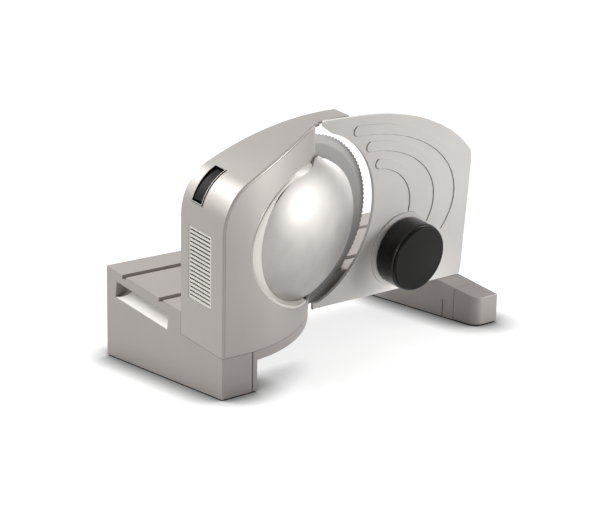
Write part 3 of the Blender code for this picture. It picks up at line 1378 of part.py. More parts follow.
def make_cam_pin():
    """The pin's flange seats behind the deck's front skirt, and the pin reaches the knob's cam."""
    skirt = DECK_FRONT_V + BASE_WALL
    profile = [(0, skirt + GAP + COVER_SHEET), (PIN_BOSS, skirt + GAP + COVER_SHEET), (PIN_BOSS, skirt + GAP),
               (CAM_PIN_R, skirt + GAP), (CAM_PIN_R, -PIN_TIP), (0, -PIN_TIP)]
    place = (KNOB_X, 0, KNOB_W - PIN_REACH)
    put_turned("cam_pin", profile, STEEL, TILTED, place, ALONG_V, 20)
    hole = rod("cam_pin_hole", CAM_PIN_R + GAP, DECK_FRONT_V - OVERRUN, skirt + OVERRUN / 4, sides=20)
    cut(base_frame, put("cam_pin_hole", hole, None, TILTED, place, ALONG_V))


def make_guides():
    skirt = DECK_FRONT_V + BASE_WALL
    for side, x in zip(("left", "right"), ROD_PLACES):
        name = "guide_rod_" + side
        put(name, rod(name, ROD_R, STOP_THICK + GAP, ROD_END, sides=28), STEEL, stop_frame, (x, 0, ROD_W), ALONG_V)
        play = ROD_R + GAP
        profile = [(play, BUSH_END), (BUSH_R, BUSH_END), (BUSH_R, skirt + GAP + COVER_SHEET),
                   (BUSH_R + COVER_SHEET / 2, skirt + GAP + COVER_SHEET), (BUSH_R + COVER_SHEET / 2, skirt + GAP),
                   (BUSH_R, skirt + GAP), (BUSH_R, DECK_FRONT_V), (play, DECK_FRONT_V)]
        put_turned("guide_bush_" + side, profile, BRONZE, TILTED, (x, 0, ROD_W), ALONG_V, 28)
        hole = rod("bush_hole_" + side, BUSH_R + GAP, DECK_FRONT_V - OVERRUN, skirt + OVERRUN / 4, sides=28)
        cut(base_frame, put("bush_hole_" + side, hole, None, TILTED, (x, 0, ROD_W), ALONG_V))


make_cam_pin()
make_guides()

# Food carriage on the deck, its pusher wall, thumb guard and the remnant holder
CARRIAGE_X = (0.112, 0.200)
CARRIAGE_BACK = 0.0023
CARRIAGE_V = (0.0106, DEPTH - TILT_Y + CARRIAGE_BACK)
CARRIAGE_THICK = 0.003
CARRIAGE_CORNER = 0.006
RUNNER_PLAY = 0.0004
WALL_X = 0.156
WALL_THICK = 0.004
WALL_TOP = 0.100
WALL_BACK = 0.0017
WALL_V = (0.013, DEPTH - TILT_Y - WALL_BACK)
GUARD_V = (0.0106, 0.0126)
GUARD_X_END = 0.198
HOLDER_V = (0.0180, 0.0215)
HOLDER_X = 0.116
HOLDER_LOW = 0.034
HOOK_THICK = 0.0035
HOOK_DROP = 0.008
SPIKE_R = 0.0016
SPIKE_LONG = 0.006
SPIKE_SHEET = 0.001
GRIP_R = 0.014
GRIP_NECK = 0.008
GRIP_LONG = 0.026
carriage_frame = empty("carriage_frame", (CARRIAGE_X[0], 0, DECK_W), parent=TILTED)
holder_frame = empty("holder_frame", (0, 0, 0), parent=carriage_frame)


def on_carriage(x, w):
    """Face coordinates inside the carriage's frame."""
    return x - CARRIAGE_X[0], w - DECK_W


def make_carriage():
    level = GAP
    ring = box_ring((0, CARRIAGE_V[0]), (CARRIAGE_X[1] - CARRIAGE_X[0], CARRIAGE_V[1]), CARRIAGE_CORNER, 4)
    put("carriage_plate", slab("carriage_plate", [ring], level, level + CARRIAGE_THICK), SILVER, carriage_frame)
    for name, middle in (("front_runner", GROOVE_FRONT_V), ("rear_runner", GROOVE_REAR_V)):
        half = GROOVE_WIDE / 2 - RUNNER_PLAY
        runner = block(name, (CARRIAGE_CORNER, middle - half, RUNNER_PLAY - GROOVE_DEPTH),
                       (CARRIAGE_X[1] - CARRIAGE_X[0] - CARRIAGE_CORNER, middle + half, 0))
        put(name, runner, DARK_PLASTIC, carriage_frame)


def make_pusher():
    """The wall that pushes the food, with a foot, and the guard that keeps the thumb from the blade."""
    low = GAP + CARRIAGE_THICK + GAP
    top = WALL_TOP - DECK_W
    start = WALL_X - CARRIAGE_X[0]
    radius = 3 * CARRIAGE_CORNER
    ring = [(WALL_V[0], low), (WALL_V[1], low)] + arc((WALL_V[1] - radius, top - radius), radius, 0, 90, 6)
    ring += [(WALL_V[0], top)]
    wall = put("pusher_wall", slab("pusher_wall", [ring], start, start + WALL_THICK), SILVER, carriage_frame,
               turn=SIDE)
    foot = block("pusher_foot", (start + WALL_THICK / 2, WALL_V[0] + CARRIAGE_CORNER, low),
                 (start + 3 * WALL_THICK, WALL_V[1] - CARRIAGE_CORNER, low + CARRIAGE_THICK))
    join(wall, put("pusher_foot", foot, None, carriage_frame))
    guard_start = start + WALL_THICK + GAP
    guard_end = GUARD_X_END - CARRIAGE_X[0]
    ring = [(guard_start, low), (guard_end, low)]
    ring += arc((guard_end - radius, top - radius), radius, 0, 90, 6) + [(guard_start, top)]
    guard = slab("thumb_guard", [ring], -GUARD_V[1], -GUARD_V[0])
    put("thumb_guard", guard, SILVER, carriage_frame, turn=FACE)


def make_holder():
    """The remnant holder hooks over the pusher wall and slides along it towards the blade."""
    inner = WALL_X - GAP - CARRIAGE_X[0]
    outer = WALL_X + WALL_THICK + GAP - CARRIAGE_X[0]
    left = HOLDER_X - CARRIAGE_X[0]
    top = WALL_TOP - DECK_W
    low = HOLDER_LOW - DECK_W
    ring = [(left, low), (inner, low), (inner, top + GAP), (outer, top + GAP), (outer, top - HOOK_DROP),
            (outer + HOOK_THICK, top - HOOK_DROP), (outer + HOOK_THICK, top + HOOK_THICK),
            (left, top + HOOK_THICK)]
    holder = slab("remnant_holder", [ring], -HOLDER_V[1], -HOLDER_V[0])
    put("remnant_holder", holder, DARK_PLASTIC, holder_frame, turn=FACE)
    middle = ((left + inner) / 2, (low + top) / 2)
    back = HOLDER_V[0] - GAP
    sheet_v = back - SPIKE_SHEET
    edge = 2 * SPIKE_R
    spikes = put("holder_spikes", block("holder_spikes", (left + edge, sheet_v, low + edge),
                                        (inner - edge, back, top - edge)), STEEL, holder_frame)
    bm = bmesh.new()
    for i in range(3):
        for j in range(4):
            place = Vector(((i - 1) * (inner - left) / 4, 0, (j - 3 / 2) * (top - low) / 5))
            place += Vector((middle[0], sheet_v + SPIKE_SHEET / 2 - SPIKE_LONG / 2, middle[1]))
            matrix = Matrix.Translation(place) @ Matrix.Rotation(math.pi / 2, 4, "X")
            bmesh.ops.create_cone(bm, cap_ends=True, segments=8, radius1=SPIKE_R, radius2=SPIKE_R / 5,
                                  depth=SPIKE_LONG, matrix=matrix)
    join(spikes, put("spike_points", mesh_from(bm, "spike_points"), None, holder_frame))
    start = HOLDER_V[1] + GAP
    end = start + GRIP_LONG
    profile = [(0, end), (GRIP_R * 0.8, end), (GRIP_R, end - GRIP_R * 0.2), (GRIP_R, end - GRIP_R * 0.6),
               (GRIP_NECK, end - GRIP_R), (GRIP_NECK, start + GRIP_NECK * 0.4), (GRIP_R * 0.9, start), (0, start)]
    put_turned("holder_grip", profile, BLACK, holder_frame, (middle[0], 0, middle[1]), ALONG_V, 28)


make_carriage()
make_pusher()
make_holder()
bpy.context.view_layer.update()
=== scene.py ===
"""Electric food slicer on a white table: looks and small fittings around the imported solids."""
import math

import bmesh
import bpy
from mathutils import Euler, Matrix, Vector
from mathutils.bvhtree import BVHTree


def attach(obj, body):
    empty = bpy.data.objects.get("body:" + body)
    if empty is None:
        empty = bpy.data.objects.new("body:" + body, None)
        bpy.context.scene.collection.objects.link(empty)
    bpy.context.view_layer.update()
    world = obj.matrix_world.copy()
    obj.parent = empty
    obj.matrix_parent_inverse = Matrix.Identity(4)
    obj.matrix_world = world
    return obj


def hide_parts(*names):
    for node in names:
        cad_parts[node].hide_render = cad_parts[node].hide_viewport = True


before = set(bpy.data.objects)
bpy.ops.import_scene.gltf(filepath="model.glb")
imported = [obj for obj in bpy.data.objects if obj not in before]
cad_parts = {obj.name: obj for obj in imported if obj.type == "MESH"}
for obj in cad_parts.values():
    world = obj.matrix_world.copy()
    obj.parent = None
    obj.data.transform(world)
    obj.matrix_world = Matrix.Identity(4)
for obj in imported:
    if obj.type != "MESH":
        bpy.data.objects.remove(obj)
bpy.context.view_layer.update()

# --- Base casting -----------------------------------------------------------------------------------------
# The two foot blocks and the deck between them are one hollow casting in satin silver-grey metallic paint.
# The slice-side arm ends in a separate cap, fixed from below, so a fine seam shows before its tip.
BASE_COLOUR = (0.42, 0.384, 0.362)
PAINT_ROUGH = 0.42
PAINT_METAL = 0.12
PAINT_CHANGE = 0.06
FLAKE_SIZE = 9000
FLAKE_SHARE = 0.45
PEEL_SIZE = 700
PEEL_RELIEF = 0.0002
DRIFT_SIZE = 14
TONE_ENDS = (0.3, 0.7)
GLOSS_DRIFT = 0.05
LEAST_ROUGH = 0.02
CAST_EDGE = 0.0007
SHARP_ANGLE = 35
WELD_REACH = 0.000004
FLAT_ANGLE = 0.4


def start_material(name, metal=0.0, specular=0.5):
    """A new surface with its colour ramp, gloss range and relief still to be fed by a texture."""
    material = bpy.data.materials.new(name)
    material.use_nodes = True
    nodes, links = material.node_tree.nodes, material.node_tree.links
    shader = nodes["Principled BSDF"]
    shader.inputs["Metallic"].default_value = metal
    shader.inputs["Specular IOR Level"].default_value = specular
    tone = nodes.new("ShaderNodeValToRGB")
    gloss = nodes.new("ShaderNodeMapRange")
    bump = nodes.new("ShaderNodeBump")
    links.new(tone.outputs["Color"], shader.inputs["Base Color"])
    links.new(gloss.outputs["Result"], shader.inputs["Roughness"])
    links.new(bump.outputs["Normal"], shader.inputs["Normal"])
    return material, nodes, links, tone, gloss, bump


def noise(nodes, links, source, size, detail=2):
    texture = nodes.new("ShaderNodeTexNoise")
    texture.inputs["Scale"].default_value = size
    texture.inputs["Detail"].default_value = detail
    links.new(source, texture.inputs["Vector"])
    return texture.outputs["Fac"]


def set_tone(tone, colour, change):
    """Let the colour vary by a share to each side."""
    low = [channel * (1 - change) for channel in colour]
    high = [min(channel * (1 + change), 1) for channel in colour]
    for end, place, shade in zip(tone.color_ramp.elements, TONE_ENDS, (low, high)):
        end.position = place
        end.color = (*shade, 1)


def set_gloss(gloss, rough, change=GLOSS_DRIFT):
    gloss.inputs["To Min"].default_value = max(rough - change, LEAST_ROUGH)
    gloss.inputs["To Max"].default_value = rough + change


def set_relief(bump, strength, distance):
    bump.inputs["Strength"].default_value = strength
    bump.inputs["Distance"].default_value = distance


def metallic_paint(name, colour, rough=PAINT_ROUGH, metal=PAINT_METAL, peel=0.08, specular=0.5):
    """Silver paint: fine flake in the colour, a slow drift of tone, orange peel and uneven gloss."""
    material, nodes, links, tone, gloss, bump = start_material(name, metal, specular)
    place = nodes.new("ShaderNodeTexCoord").outputs["Object"]
    flake = noise(nodes, links, place, FLAKE_SIZE, 1)
    drift = noise(nodes, links, place, DRIFT_SIZE, 3)
    peel_noise = noise(nodes, links, place, PEEL_SIZE)
    blend = nodes.new("ShaderNodeMix")
    blend.data_type = "FLOAT"
    blend.inputs["Factor"].default_value = FLAKE_SHARE
    links.new(drift, blend.inputs[2])
    links.new(flake, blend.inputs[3])
    links.new(blend.outputs[0], tone.inputs["Fac"])
    links.new(drift, gloss.inputs["Value"])
    links.new(peel_noise, bump.inputs["Height"])
    set_tone(tone, colour, PAINT_CHANGE)
    set_gloss(gloss, rough)
    set_relief(bump, peel, PEEL_RELIEF)
    return material


def soften(piece, edge, steps, angle):
    """Join the faces, round the sharp edges by a small radius and shade the curved faces smoothly."""
    normals = piece.data.attributes.get("custom_normal")
    if normals:
        piece.data.attributes.remove(normals)
    piece.data.shade_smooth()
    weld = piece.modifiers.new("weld", "WELD")
    weld.merge_threshold = WELD_REACH
    if edge:
        flat = piece.modifiers.new("flats", "DECIMATE")
        flat.decimate_type = "DISSOLVE"
        flat.angle_limit = math.radians(FLAT_ANGLE)
        rounded = piece.modifiers.new("edge", "BEVEL")
        rounded.width = edge
        rounded.segments = steps
        rounded.limit_method = "ANGLE"
        rounded.angle_limit = math.radians(angle)
        even = piece.modifiers.new("even", "WEIGHTED_NORMAL")
        even.keep_sharp = False
    else:
        split = piece.modifiers.new("split", "EDGE_SPLIT")
        split.split_angle = math.radians(angle)


def dress(node, material, edge=0.0, steps=2, angle=SHARP_ANGLE):
    """Give a solid of the frame its finish and, where the real edge is broken, a small round on it."""
    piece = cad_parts[node]
    piece.data.materials.clear()
    piece.data.materials.append(material)
    soften(piece, edge, steps, angle)


base_paint = metallic_paint("base_paint", BASE_COLOUR)
dress("base_frame", base_paint, CAST_EDGE)
dress("arm_end_cap", base_paint, CAST_EDGE, 3)

# --- Finger grip highlight --------------------------------------------------------------------------------
# The recess for the fingers in the left block holds a pale quarter-round sheet that rises from its outer edge.
# Its pale colour is a painted highlight for the light on the upward slope, and its slanted rear end leaves the
# rear corner of the recess bare and dark.
HALF_LONG = 0.176
LEAN = math.radians(9.6)
LEAN_Y = -0.0217
LEAN_Z = 0.0371
SCOOP_HIGHLIGHT_COLOUR = (0.93, 0.91, 0.87)
SCOOP_START = (0.0004, 0.0053)
SCOOP_SIZE = (0.0112, 0.0120)
SCOOP_V = (0.0171, 0.0905)
SCOOP_SLANT = 0.013
SCOOP_SHEET = 0.0006
SCOOP_STEPS = 12


def leaning(x, v, w):
    """The place of a point of the leaning frame that the blade stands in: x, depth v and height w."""
    depth = LEAN_Y + v * math.cos(LEAN) - w * math.sin(LEAN)
    height = LEAN_Z + v * math.sin(LEAN) + w * math.cos(LEAN)
    return Vector((x - HALF_LONG, depth, height))


def added(name, rows, material, body, closed=False):
    """A piece made of rows of points, each row joined to the next, that rides on a body."""
    shape = bmesh.new()
    grid = [[shape.verts.new(point) for point in row] for row in rows]
    count = len(grid[0])
    pairs = list(zip(grid, grid[1:]))
    if closed:
        pairs.append((grid[-1], grid[0]))
    for near, far in pairs:
        for i in range(count):
            j = (i + 1) % count
            shape.faces.new((near[i], near[j], far[j], far[i]))
    if not closed:
        shape.faces.new(grid[0])
        shape.faces.new(list(reversed(grid[-1])))
    bmesh.ops.recalc_face_normals(shape, faces=shape.faces)
    mesh = bpy.data.meshes.new(name)
    shape.to_mesh(mesh)
    shape.free()
    mesh.materials.append(material)
    mesh.shade_smooth()
    mesh.set_sharp_from_angle(angle=math.radians(SHARP_ANGLE))
    piece = bpy.data.objects.new(name, mesh)
    bpy.context.scene.collection.objects.link(piece)
    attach(piece, body)
    return piece


def scoop_rows():
    """A quarter-round sheet, as a loop round its two faces at the near and at the far end."""
    faces = []
    for layer in (0, SCOOP_SHEET):
        faces.append([])
        for i in range(SCOOP_STEPS + 1):
            share = i / SCOOP_STEPS
            turn = math.pi / 2 * share
            x = SCOOP_START[0] + SCOOP_SIZE[0] * math.sin(turn) + layer * math.sin(turn) / 2
            w = SCOOP_START[1] + SCOOP_SIZE[1] * (1 - math.cos(turn)) - layer * math.cos(turn) / 2
            faces[-1].append((x, w, share))
    loop = faces[0] + list(reversed(faces[1]))
    near = [leaning(x, SCOOP_V[0], w) for x, w, _ in loop]
    far = [leaning(x, SCOOP_V[1] - SCOOP_SLANT * share, w) for x, w, share in loop]
    return [near, far]


# The scoop's pale colour is a painted highlight on the grip's upward slope.
scoop_highlight_paint = metallic_paint("scoop_highlight_paint", SCOOP_HIGHLIGHT_COLOUR, rough=0.5, metal=0.0)
added("finger_scoop_highlight", scoop_rows(), scoop_highlight_paint, "housing")

# --- Underside --------------------------------------------------------------------------------------------
# Flat covers in dark grey plastic close the hollow blocks and the deck from below, and round rubber feet
# snap into the covers of the two blocks.
COVER_COLOUR = (0.045, 0.045, 0.046)
RUBBER_COLOUR = (0.022, 0.022, 0.023)
MOULD_GRAIN = 1600
MOULD_CHANGE = 0.15
FINE_RELIEF = 0.0001


def moulded(name, colour, rough=0.5, depth=0.3, specular=0.5):
    """Moulded plastic or rubber with the fine texture of its mould."""
    material, nodes, links, tone, gloss, bump = start_material(name, 0.0, specular)
    grain = noise(nodes, links, nodes.new("ShaderNodeTexCoord").outputs["Object"], MOULD_GRAIN, 3)
    for target in (tone.inputs["Fac"], gloss.inputs["Value"], bump.inputs["Height"]):
        links.new(grain, target)
    set_tone(tone, colour, MOULD_CHANGE)
    set_gloss(gloss, rough)
    set_relief(bump, depth, FINE_RELIEF)
    return material


dark_plastic = moulded("dark_plastic", COVER_COLOUR)
# This dark rubber also paints the shade behind the vent grille.
foot_rubber = moulded("foot_rubber", RUBBER_COLOUR, 0.75)
for cover in ("left_bottom_cover", "right_bottom_cover", "deck_bottom_cover"):
    dress(cover, dark_plastic, 0.0003)
for foot in ("foot_front_left", "foot_rear_left", "foot_front_right", "foot_rear_right"):
    dress(foot, foot_rubber)
dress("cord_gland", foot_rubber, 0.0003)

# --- Motor housing ----------------------------------------------------------------------------------------
# One bent shell makes the narrow face, the round shoulder and the roof. The curved side cover is let into
# it, and a flat plate closes the food side.
HOUSING_COLOUR = (0.43, 0.402, 0.378)
housing_paint = metallic_paint("housing_paint", HOUSING_COLOUR, rough=0.36, metal=0.35, specular=0.3)
dress("tower_band", housing_paint, 0.0005, angle=28)
dress("side_cover", housing_paint, 0.0004, angle=40)
dress("drive_plate", housing_paint, 0.0004)

# --- Vent grille ------------------------------------------------------------------------------------------
# A slatted insert in the narrow face lets the motor's air out. Its bars are bright, and a black sheet behind
# them is painted shade that makes the gaps dark.
VENT_COLOUR = (0.78, 0.75, 0.70)
VENT_X = (0.0022, 0.0025)
VENT_DEPTH = (0.0158, 0.0442)
VENT_W = (0.0455, 0.1067)
VENT_TURNS = ((0, 0), (1, 0), (1, 1), (0, 1))
HINGE_Y = 0.0583


def vent_corner(x, depth, w):
    """A corner of the grille's window, whose upright sides keep their depth as they rise."""
    return leaning(x, (depth - HINGE_Y + w * math.sin(LEAN)) / math.cos(LEAN), w)


painted_shade_rows = [[vent_corner(x, VENT_DEPTH[i], VENT_W[j]) for i, j in VENT_TURNS] for x in VENT_X]
dress("vent_grille", metallic_paint("vent_paint", VENT_COLOUR, rough=0.34), 0.0003)
# A black sheet behind the slots: painted shade where the housing's inside would show.
added("vent_painted_shade", painted_shade_rows, foot_rubber, "housing")

# --- Switch -----------------------------------------------------------------------------------------------
# A black rocker in a black frame sits on the round shoulder, following its curve. A fine pale line laid in
# the frame all round is a painted highlight, for the light caught by the frame's edge.
SWITCH_COLOUR = (0.006, 0.006, 0.006)
LINE_HIGHLIGHT_COLOUR = (0.80, 0.79, 0.76)
SHOULDER_X = 0.044
SHOULDER_W = 0.1119
SHOULDER_R = 0.044
SWITCH_TURNS = (160.5, 110.0)
SWITCH_V = (-0.00456, 0.01015)
SWITCH_LEVEL_W = 0.14292
SWITCH_STEPS = 12
LINE_IN = 0.00065
LINE_WIDE = 0.00042
LINE_LOW = 0.0005
LINE_HIGH = 0.00082


def on_shoulder(turn, v, rise):
    """A point over the round shoulder, whose depth stays level along the switch."""
    angle = math.radians(turn)
    x = SHOULDER_X + (SHOULDER_R + rise) * math.cos(angle)
    w = SHOULDER_W + (SHOULDER_R + rise) * math.sin(angle)
    return leaning(x, v + (w - SWITCH_LEVEL_W) * math.tan(LEAN), w)


def switch_path(inset):
    """The rectangle round the switch, moved inwards, as turns about the shoulder and depths."""
    trim = math.degrees(inset / SHOULDER_R)
    first, last = SWITCH_TURNS[0] - trim, SWITCH_TURNS[1] + trim
    near, far = SWITCH_V[0] + inset, SWITCH_V[1] - inset
    path = [(first + (last - first) * i / SWITCH_STEPS, near) for i in range(SWITCH_STEPS + 1)]
    return path + [(turn, far) for turn, _ in reversed(path)]


def switch_highlight_line():
    outer, inner = switch_path(LINE_IN), switch_path(LINE_IN + LINE_WIDE)
    rows = []
    for out_place, in_place in zip(outer, inner):
        rows.append([on_shoulder(*out_place, LINE_LOW), on_shoulder(*out_place, LINE_HIGH),
                     on_shoulder(*in_place, LINE_HIGH), on_shoulder(*in_place, LINE_LOW)])
    return rows


switch_plastic = moulded("switch_plastic", SWITCH_COLOUR, 0.40, depth=0.15, specular=0.12)
# The pale line paint is a painted highlight, on the switch frame and on the knob.
line_highlight_paint = moulded("line_highlight_paint", LINE_HIGHLIGHT_COLOUR, 0.35, depth=0.1)
dress("switch_bezel", switch_plastic, 0.0002)
dress("switch_rocker", switch_plastic, 0.0006)
dress("switch_block", dark_plastic)
added("switch_highlight_line", switch_highlight_line(), line_highlight_paint, "housing", closed=True)

# --- Blade cover ------------------------------------------------------------------------------------------
# A domed cover pressed from sheet and polished to a soft shine, in a dished ring that leads to the pointed
# wing.
# The ring is painted paler than the housing, a painted highlight, and a rounded lip in the same paint closes
# the seam between the ring and the side cover's opening.
SHEET_COLOUR = (0.42, 0.402, 0.385)
RING_HIGHLIGHT_COLOUR = (0.80, 0.76, 0.71)
METAL_CHANGE = 0.06
METAL_RELIEF = 0.05
GLOSS_STREAK = 0.04
BLADE_X = 0.1249
BLADE_W = 0.0851
OPENING = (0.125, 0.1195)
OPENING_SEMI = (0.0935, 0.062)
LIP_TURNS = (91, 270)
LIP_STEPS = 72
LIP_OUT = 0.0015
LIP_IN = 0.0010
LIP_IN_STEP = 0.0005
LIP_IN_TRIES = 14
LIP_ROUND = 6
LIP_WIDER = 0.0046
LIP_EASE = (126, 168)
LIP_RISE = 0.0003
LIP_SINK = 0.0002
LIP_THICK = 0.0006
LIP_BLEND = 3


def bare_metal(name, colour, rough, centre=None, size=60, metal=1.0):
    """Bare metal with marks in its colour and gloss: all over, or in rings about the blade's axis."""
    material, nodes, links, tone, gloss, bump = start_material(name, metal)
    place = nodes.new("ShaderNodeTexCoord").outputs["Object"]
    if centre:
        about = nodes.new("ShaderNodeMapping")
        about.vector_type = "TEXTURE"
        about.inputs["Location"].default_value = centre
        about.inputs["Rotation"].default_value = (LEAN - math.pi / 2, 0, 0)
        flat = nodes.new("ShaderNodeVectorMath")
        flat.operation = "MULTIPLY"
        flat.inputs[1].default_value = (1, 1, 0)
        reach = nodes.new("ShaderNodeVectorMath")
        reach.operation = "LENGTH"
        links.new(place, about.inputs["Vector"])
        links.new(about.outputs["Vector"], flat.inputs[0])
        links.new(flat.outputs["Vector"], reach.inputs[0])
        rings = nodes.new("ShaderNodeTexNoise")
        rings.noise_dimensions = "1D"
        rings.inputs["Scale"].default_value = size
        rings.inputs["Detail"].default_value = 3
        links.new(reach.outputs["Value"], rings.inputs["W"])
        marks = rings.outputs["Fac"]
    else:
        marks = noise(nodes, links, place, size, 4)
    for target in (tone.inputs["Fac"], gloss.inputs["Value"], bump.inputs["Height"]):
        links.new(marks, target)
    set_tone(tone, colour, METAL_CHANGE)
    set_gloss(gloss, rough, GLOSS_STREAK)
    set_relief(bump, METAL_RELIEF, FINE_RELIEF)
    return material


def outside_of(*names):
    """The outer faces of some solids, to find where a line along Y first meets them."""
    points, faces = [], []
    for name in names:
        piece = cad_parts[name]
        start = len(points)
        points += [piece.matrix_world @ vertex.co for vertex in piece.data.vertices]
        faces += [[start + index for index in face.vertices] for face in piece.data.polygons]
    return BVHTree.FromPolygons(points, faces)


def on_oval(faces, turn, grow):
    """Where the cover's oval opening, grown by an amount, lies on some faces in a direction."""
    angle = math.radians(turn)
    x = OPENING[0] - HALF_LONG + (OPENING_SEMI[0] + grow) * math.cos(angle)
    z = OPENING[1] + (OPENING_SEMI[1] + grow) * math.sin(angle)
    return faces.ray_cast(Vector((x, -1, z)), Vector((0, 1, 0)))[0]


def lip_rows():
    """The lip, from the rim of the opening inwards to the ring or the dome, eased along its length."""
    cover, inner = outside_of("side_cover"), outside_of("dome_surround", "dome_cover")
    rows = []
    for i in range(LIP_STEPS + 1):
        turn = LIP_TURNS[0] + (LIP_TURNS[1] - LIP_TURNS[0]) * i / LIP_STEPS
        rim = on_oval(cover, turn, LIP_OUT)
        wider = LIP_WIDER * min(max((LIP_EASE[1] - turn) / (LIP_EASE[1] - LIP_EASE[0]), 0), 1)
        reaches = [LIP_IN + wider + LIP_IN_STEP * step for step in range(LIP_IN_TRIES)]
        found = [point for point in [on_oval(inner, turn, -reach) for reach in reaches] if point]
        if rim is None or not found:
            continue
        row = []
        for j in range(LIP_ROUND + 1):
            share = j / LIP_ROUND
            point = rim.lerp(found[0], share)
            point.y += LIP_SINK - (LIP_SINK + LIP_RISE) * math.sin(math.pi * share)
            row.append(point)
        back = [point + Vector((0, LIP_THICK, 0)) for point in (row[-1], row[0])]
        rows.append(row + back)
    eased = []
    for i, row in enumerate(rows):
        blend = min(LIP_BLEND, i, len(rows) - 1 - i)
        near = rows[i - blend:i + blend + 1]
        eased.append([sum((other[j] for other in near), Vector()) / len(near) for j in range(len(row))])
    return eased


# The ring's paler paint is a painted highlight of the housing's silver paint.
ring_highlight_paint = metallic_paint("ring_highlight_paint", RING_HIGHLIGHT_COLOUR, rough=0.40, metal=0.2)
dress("dome_cover", bare_metal("dome_polish", SHEET_COLOUR, 0.48, metal=0.75), angle=50)
added("ring_lip", lip_rows(), ring_highlight_paint, "housing")
dress("dome_surround", ring_highlight_paint, angle=50)

# --- Blade ------------------------------------------------------------------------------------------------
# The round stainless blade is ground from the slice side to a finely scalloped edge, with turning marks all
# round, and turns on a steel axle. A black screw-in lock holds it from the food side.
STEEL_COLOUR = (0.25, 0.242, 0.235)
NYLON_COLOUR = (0.62, 0.60, 0.52)
TURNING_MARKS = 1400
TEETH = 118
TOOTH_STEPS = 6
TOOTH_DEEP = 0.0011
EDGE_R = 0.085
BLADE_BACK = 0.0079
BLADE_FRONT = 0.0064
EDGE_LAND = 0.0002
GRIND_R = 0.0770
GRIND_END_R = 0.0762
HOLE_R = 0.015


def blade_rows():
    """The section of the blade, from its hole out to its edge, at each step round the axis."""
    rows = []
    count = TEETH * TOOTH_STEPS
    for i in range(count):
        turn = 2 * math.pi * i / count
        phase = (i % TOOTH_STEPS) / TOOTH_STEPS
        edge = EDGE_R - TOOTH_DEEP * math.sin(math.pi * phase) ** 2
        profile = ((HOLE_R, BLADE_BACK), (edge, BLADE_BACK), (edge, BLADE_BACK - EDGE_LAND),
                   (GRIND_R, BLADE_FRONT + EDGE_LAND / 2), (GRIND_END_R, BLADE_FRONT), (HOLE_R, BLADE_FRONT))
        rows.append([leaning(BLADE_X + r * math.cos(turn), v, BLADE_W + r * math.sin(turn))
                     for r, v in profile])
    return rows


blade_steel = bare_metal("blade_steel", STEEL_COLOUR, 0.42, centre=leaning(BLADE_X, 0, BLADE_W),
                         size=TURNING_MARKS, metal=0.6)
blade = added("fine_blade", blade_rows(), blade_steel, "blade_set", closed=True)
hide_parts("blade")
gear_nylon = moulded("gear_nylon", NYLON_COLOUR, 0.45)
dress("blade_hub", gear_nylon)
dress("blade_lock", switch_plastic, 0.0004)

# --- Drive ------------------------------------------------------------------------------------------------
# Motor, worm, wheels and shafts sit out of sight inside the housing. The wheels are nylon, the worm and the
# shafts are turned steel, and the bushes are sintered bronze.
SHAFT_COLOUR = (0.50, 0.50, 0.50)
BRONZE_COLOUR = (0.50, 0.34, 0.16)

drive_steel = bare_metal("drive_steel", SHAFT_COLOUR, 0.32)
bush_bronze = bare_metal("bush_bronze", BRONZE_COLOUR, 0.38)
for part in ("blade_axle", "drive_pinion", "idler_shaft", "gear_bracket", "worm", "motor_shaft",
             "drive_motor", "motor_bracket", "rocker_pin", "knob_stud", "cam_pin", "guide_rod_left",
             "guide_rod_right", "holder_spikes"):
    dress(part, drive_steel)
for part in ("axle_bush", "guide_bush_left", "guide_bush_right"):
    dress(part, bush_bronze)
for part in ("blade_gear", "worm_wheel", "worm_bearing"):
    dress(part, gear_nylon)

# --- Stop plate -------------------------------------------------------------------------------------------
# The plate that sets the slice's thickness is a satin sheet with three pressed ribs, and slides on two rods.
# Along each rib's lower edge runs a fine dark strip, painted shade for the side of the pressing away from the
# light. RIBS gives the centre, half width and half height of each one's oval, from the blade's axis, and the
# places where it starts and ends.
PLATE_COLOUR = (0.74, 0.710, 0.680)
RIB_SHADE_COLOUR = (0.13, 0.12, 0.115)
RIBS = ((0.060, 0.0, 0.1380, 0.0790, 0.055, -0.030),
        (0.075, 0.0, 0.0950, 0.0620, 0.074, -0.019),
        (0.085, 0.0, 0.0530, 0.0440, 0.089, -0.009))
RIB_WIDE = 0.0095
RIB_STEPS = 48
RIB_END_STEPS = 12
CREASE_WIDE = 0.0005
CREASE_RISE = 0.00012
CREASE_SINK = 0.0001
CORNER_AT = (0.2122, -0.0708)
CORNER_R = 0.0136
CORNER_TURNS = (8, -90)
CORNER_STEPS = 10
CORNER_OUTLINE = ((0.22608, -0.0692), (0.2266, -0.0740), (0.2268, -0.0806), (0.2265, -0.0829),
                  (0.2256, -0.0842), (0.2240, -0.0847), (0.2124, -0.0848))
CORNER_V = (-0.00002, 0.0028)
KNOB_X = 0.259
KNOB_W = 0.043
DIAL_R = 0.037


def rib_shade_line(centre_x, centre_s, wide, tall, start_x, end_s):
    """The inner edge of a rib, with its round left end, as points of the plate."""
    first = math.acos(min((start_x - centre_x) / wide, 1))
    last = math.asin(end_s / tall)
    path = []
    for i in range(RIB_STEPS + 1):
        turn = first + (last - first) * i / RIB_STEPS
        path.append((centre_x + wide * math.cos(turn), centre_s + tall * math.sin(turn)))
    outer_first = math.acos(min((start_x - centre_x) / (wide + RIB_WIDE), 1))
    top = (start_x, centre_s + (tall + RIB_WIDE) * math.sin(outer_first))
    middle = ((top[0] + path[0][0]) / 2, (top[1] + path[0][1]) / 2)
    radius = math.dist(top, path[0]) / 2
    start = math.atan2(path[0][1] - middle[1], path[0][0] - middle[0])
    end = []
    for i in range(RIB_END_STEPS - 1, 0, -1):
        turn = start - math.pi * i / RIB_END_STEPS
        end.append((middle[0] + radius * math.cos(turn), middle[1] + radius * math.sin(turn)))
    return [(BLADE_X + x, BLADE_W + s) for x, s in end + path]


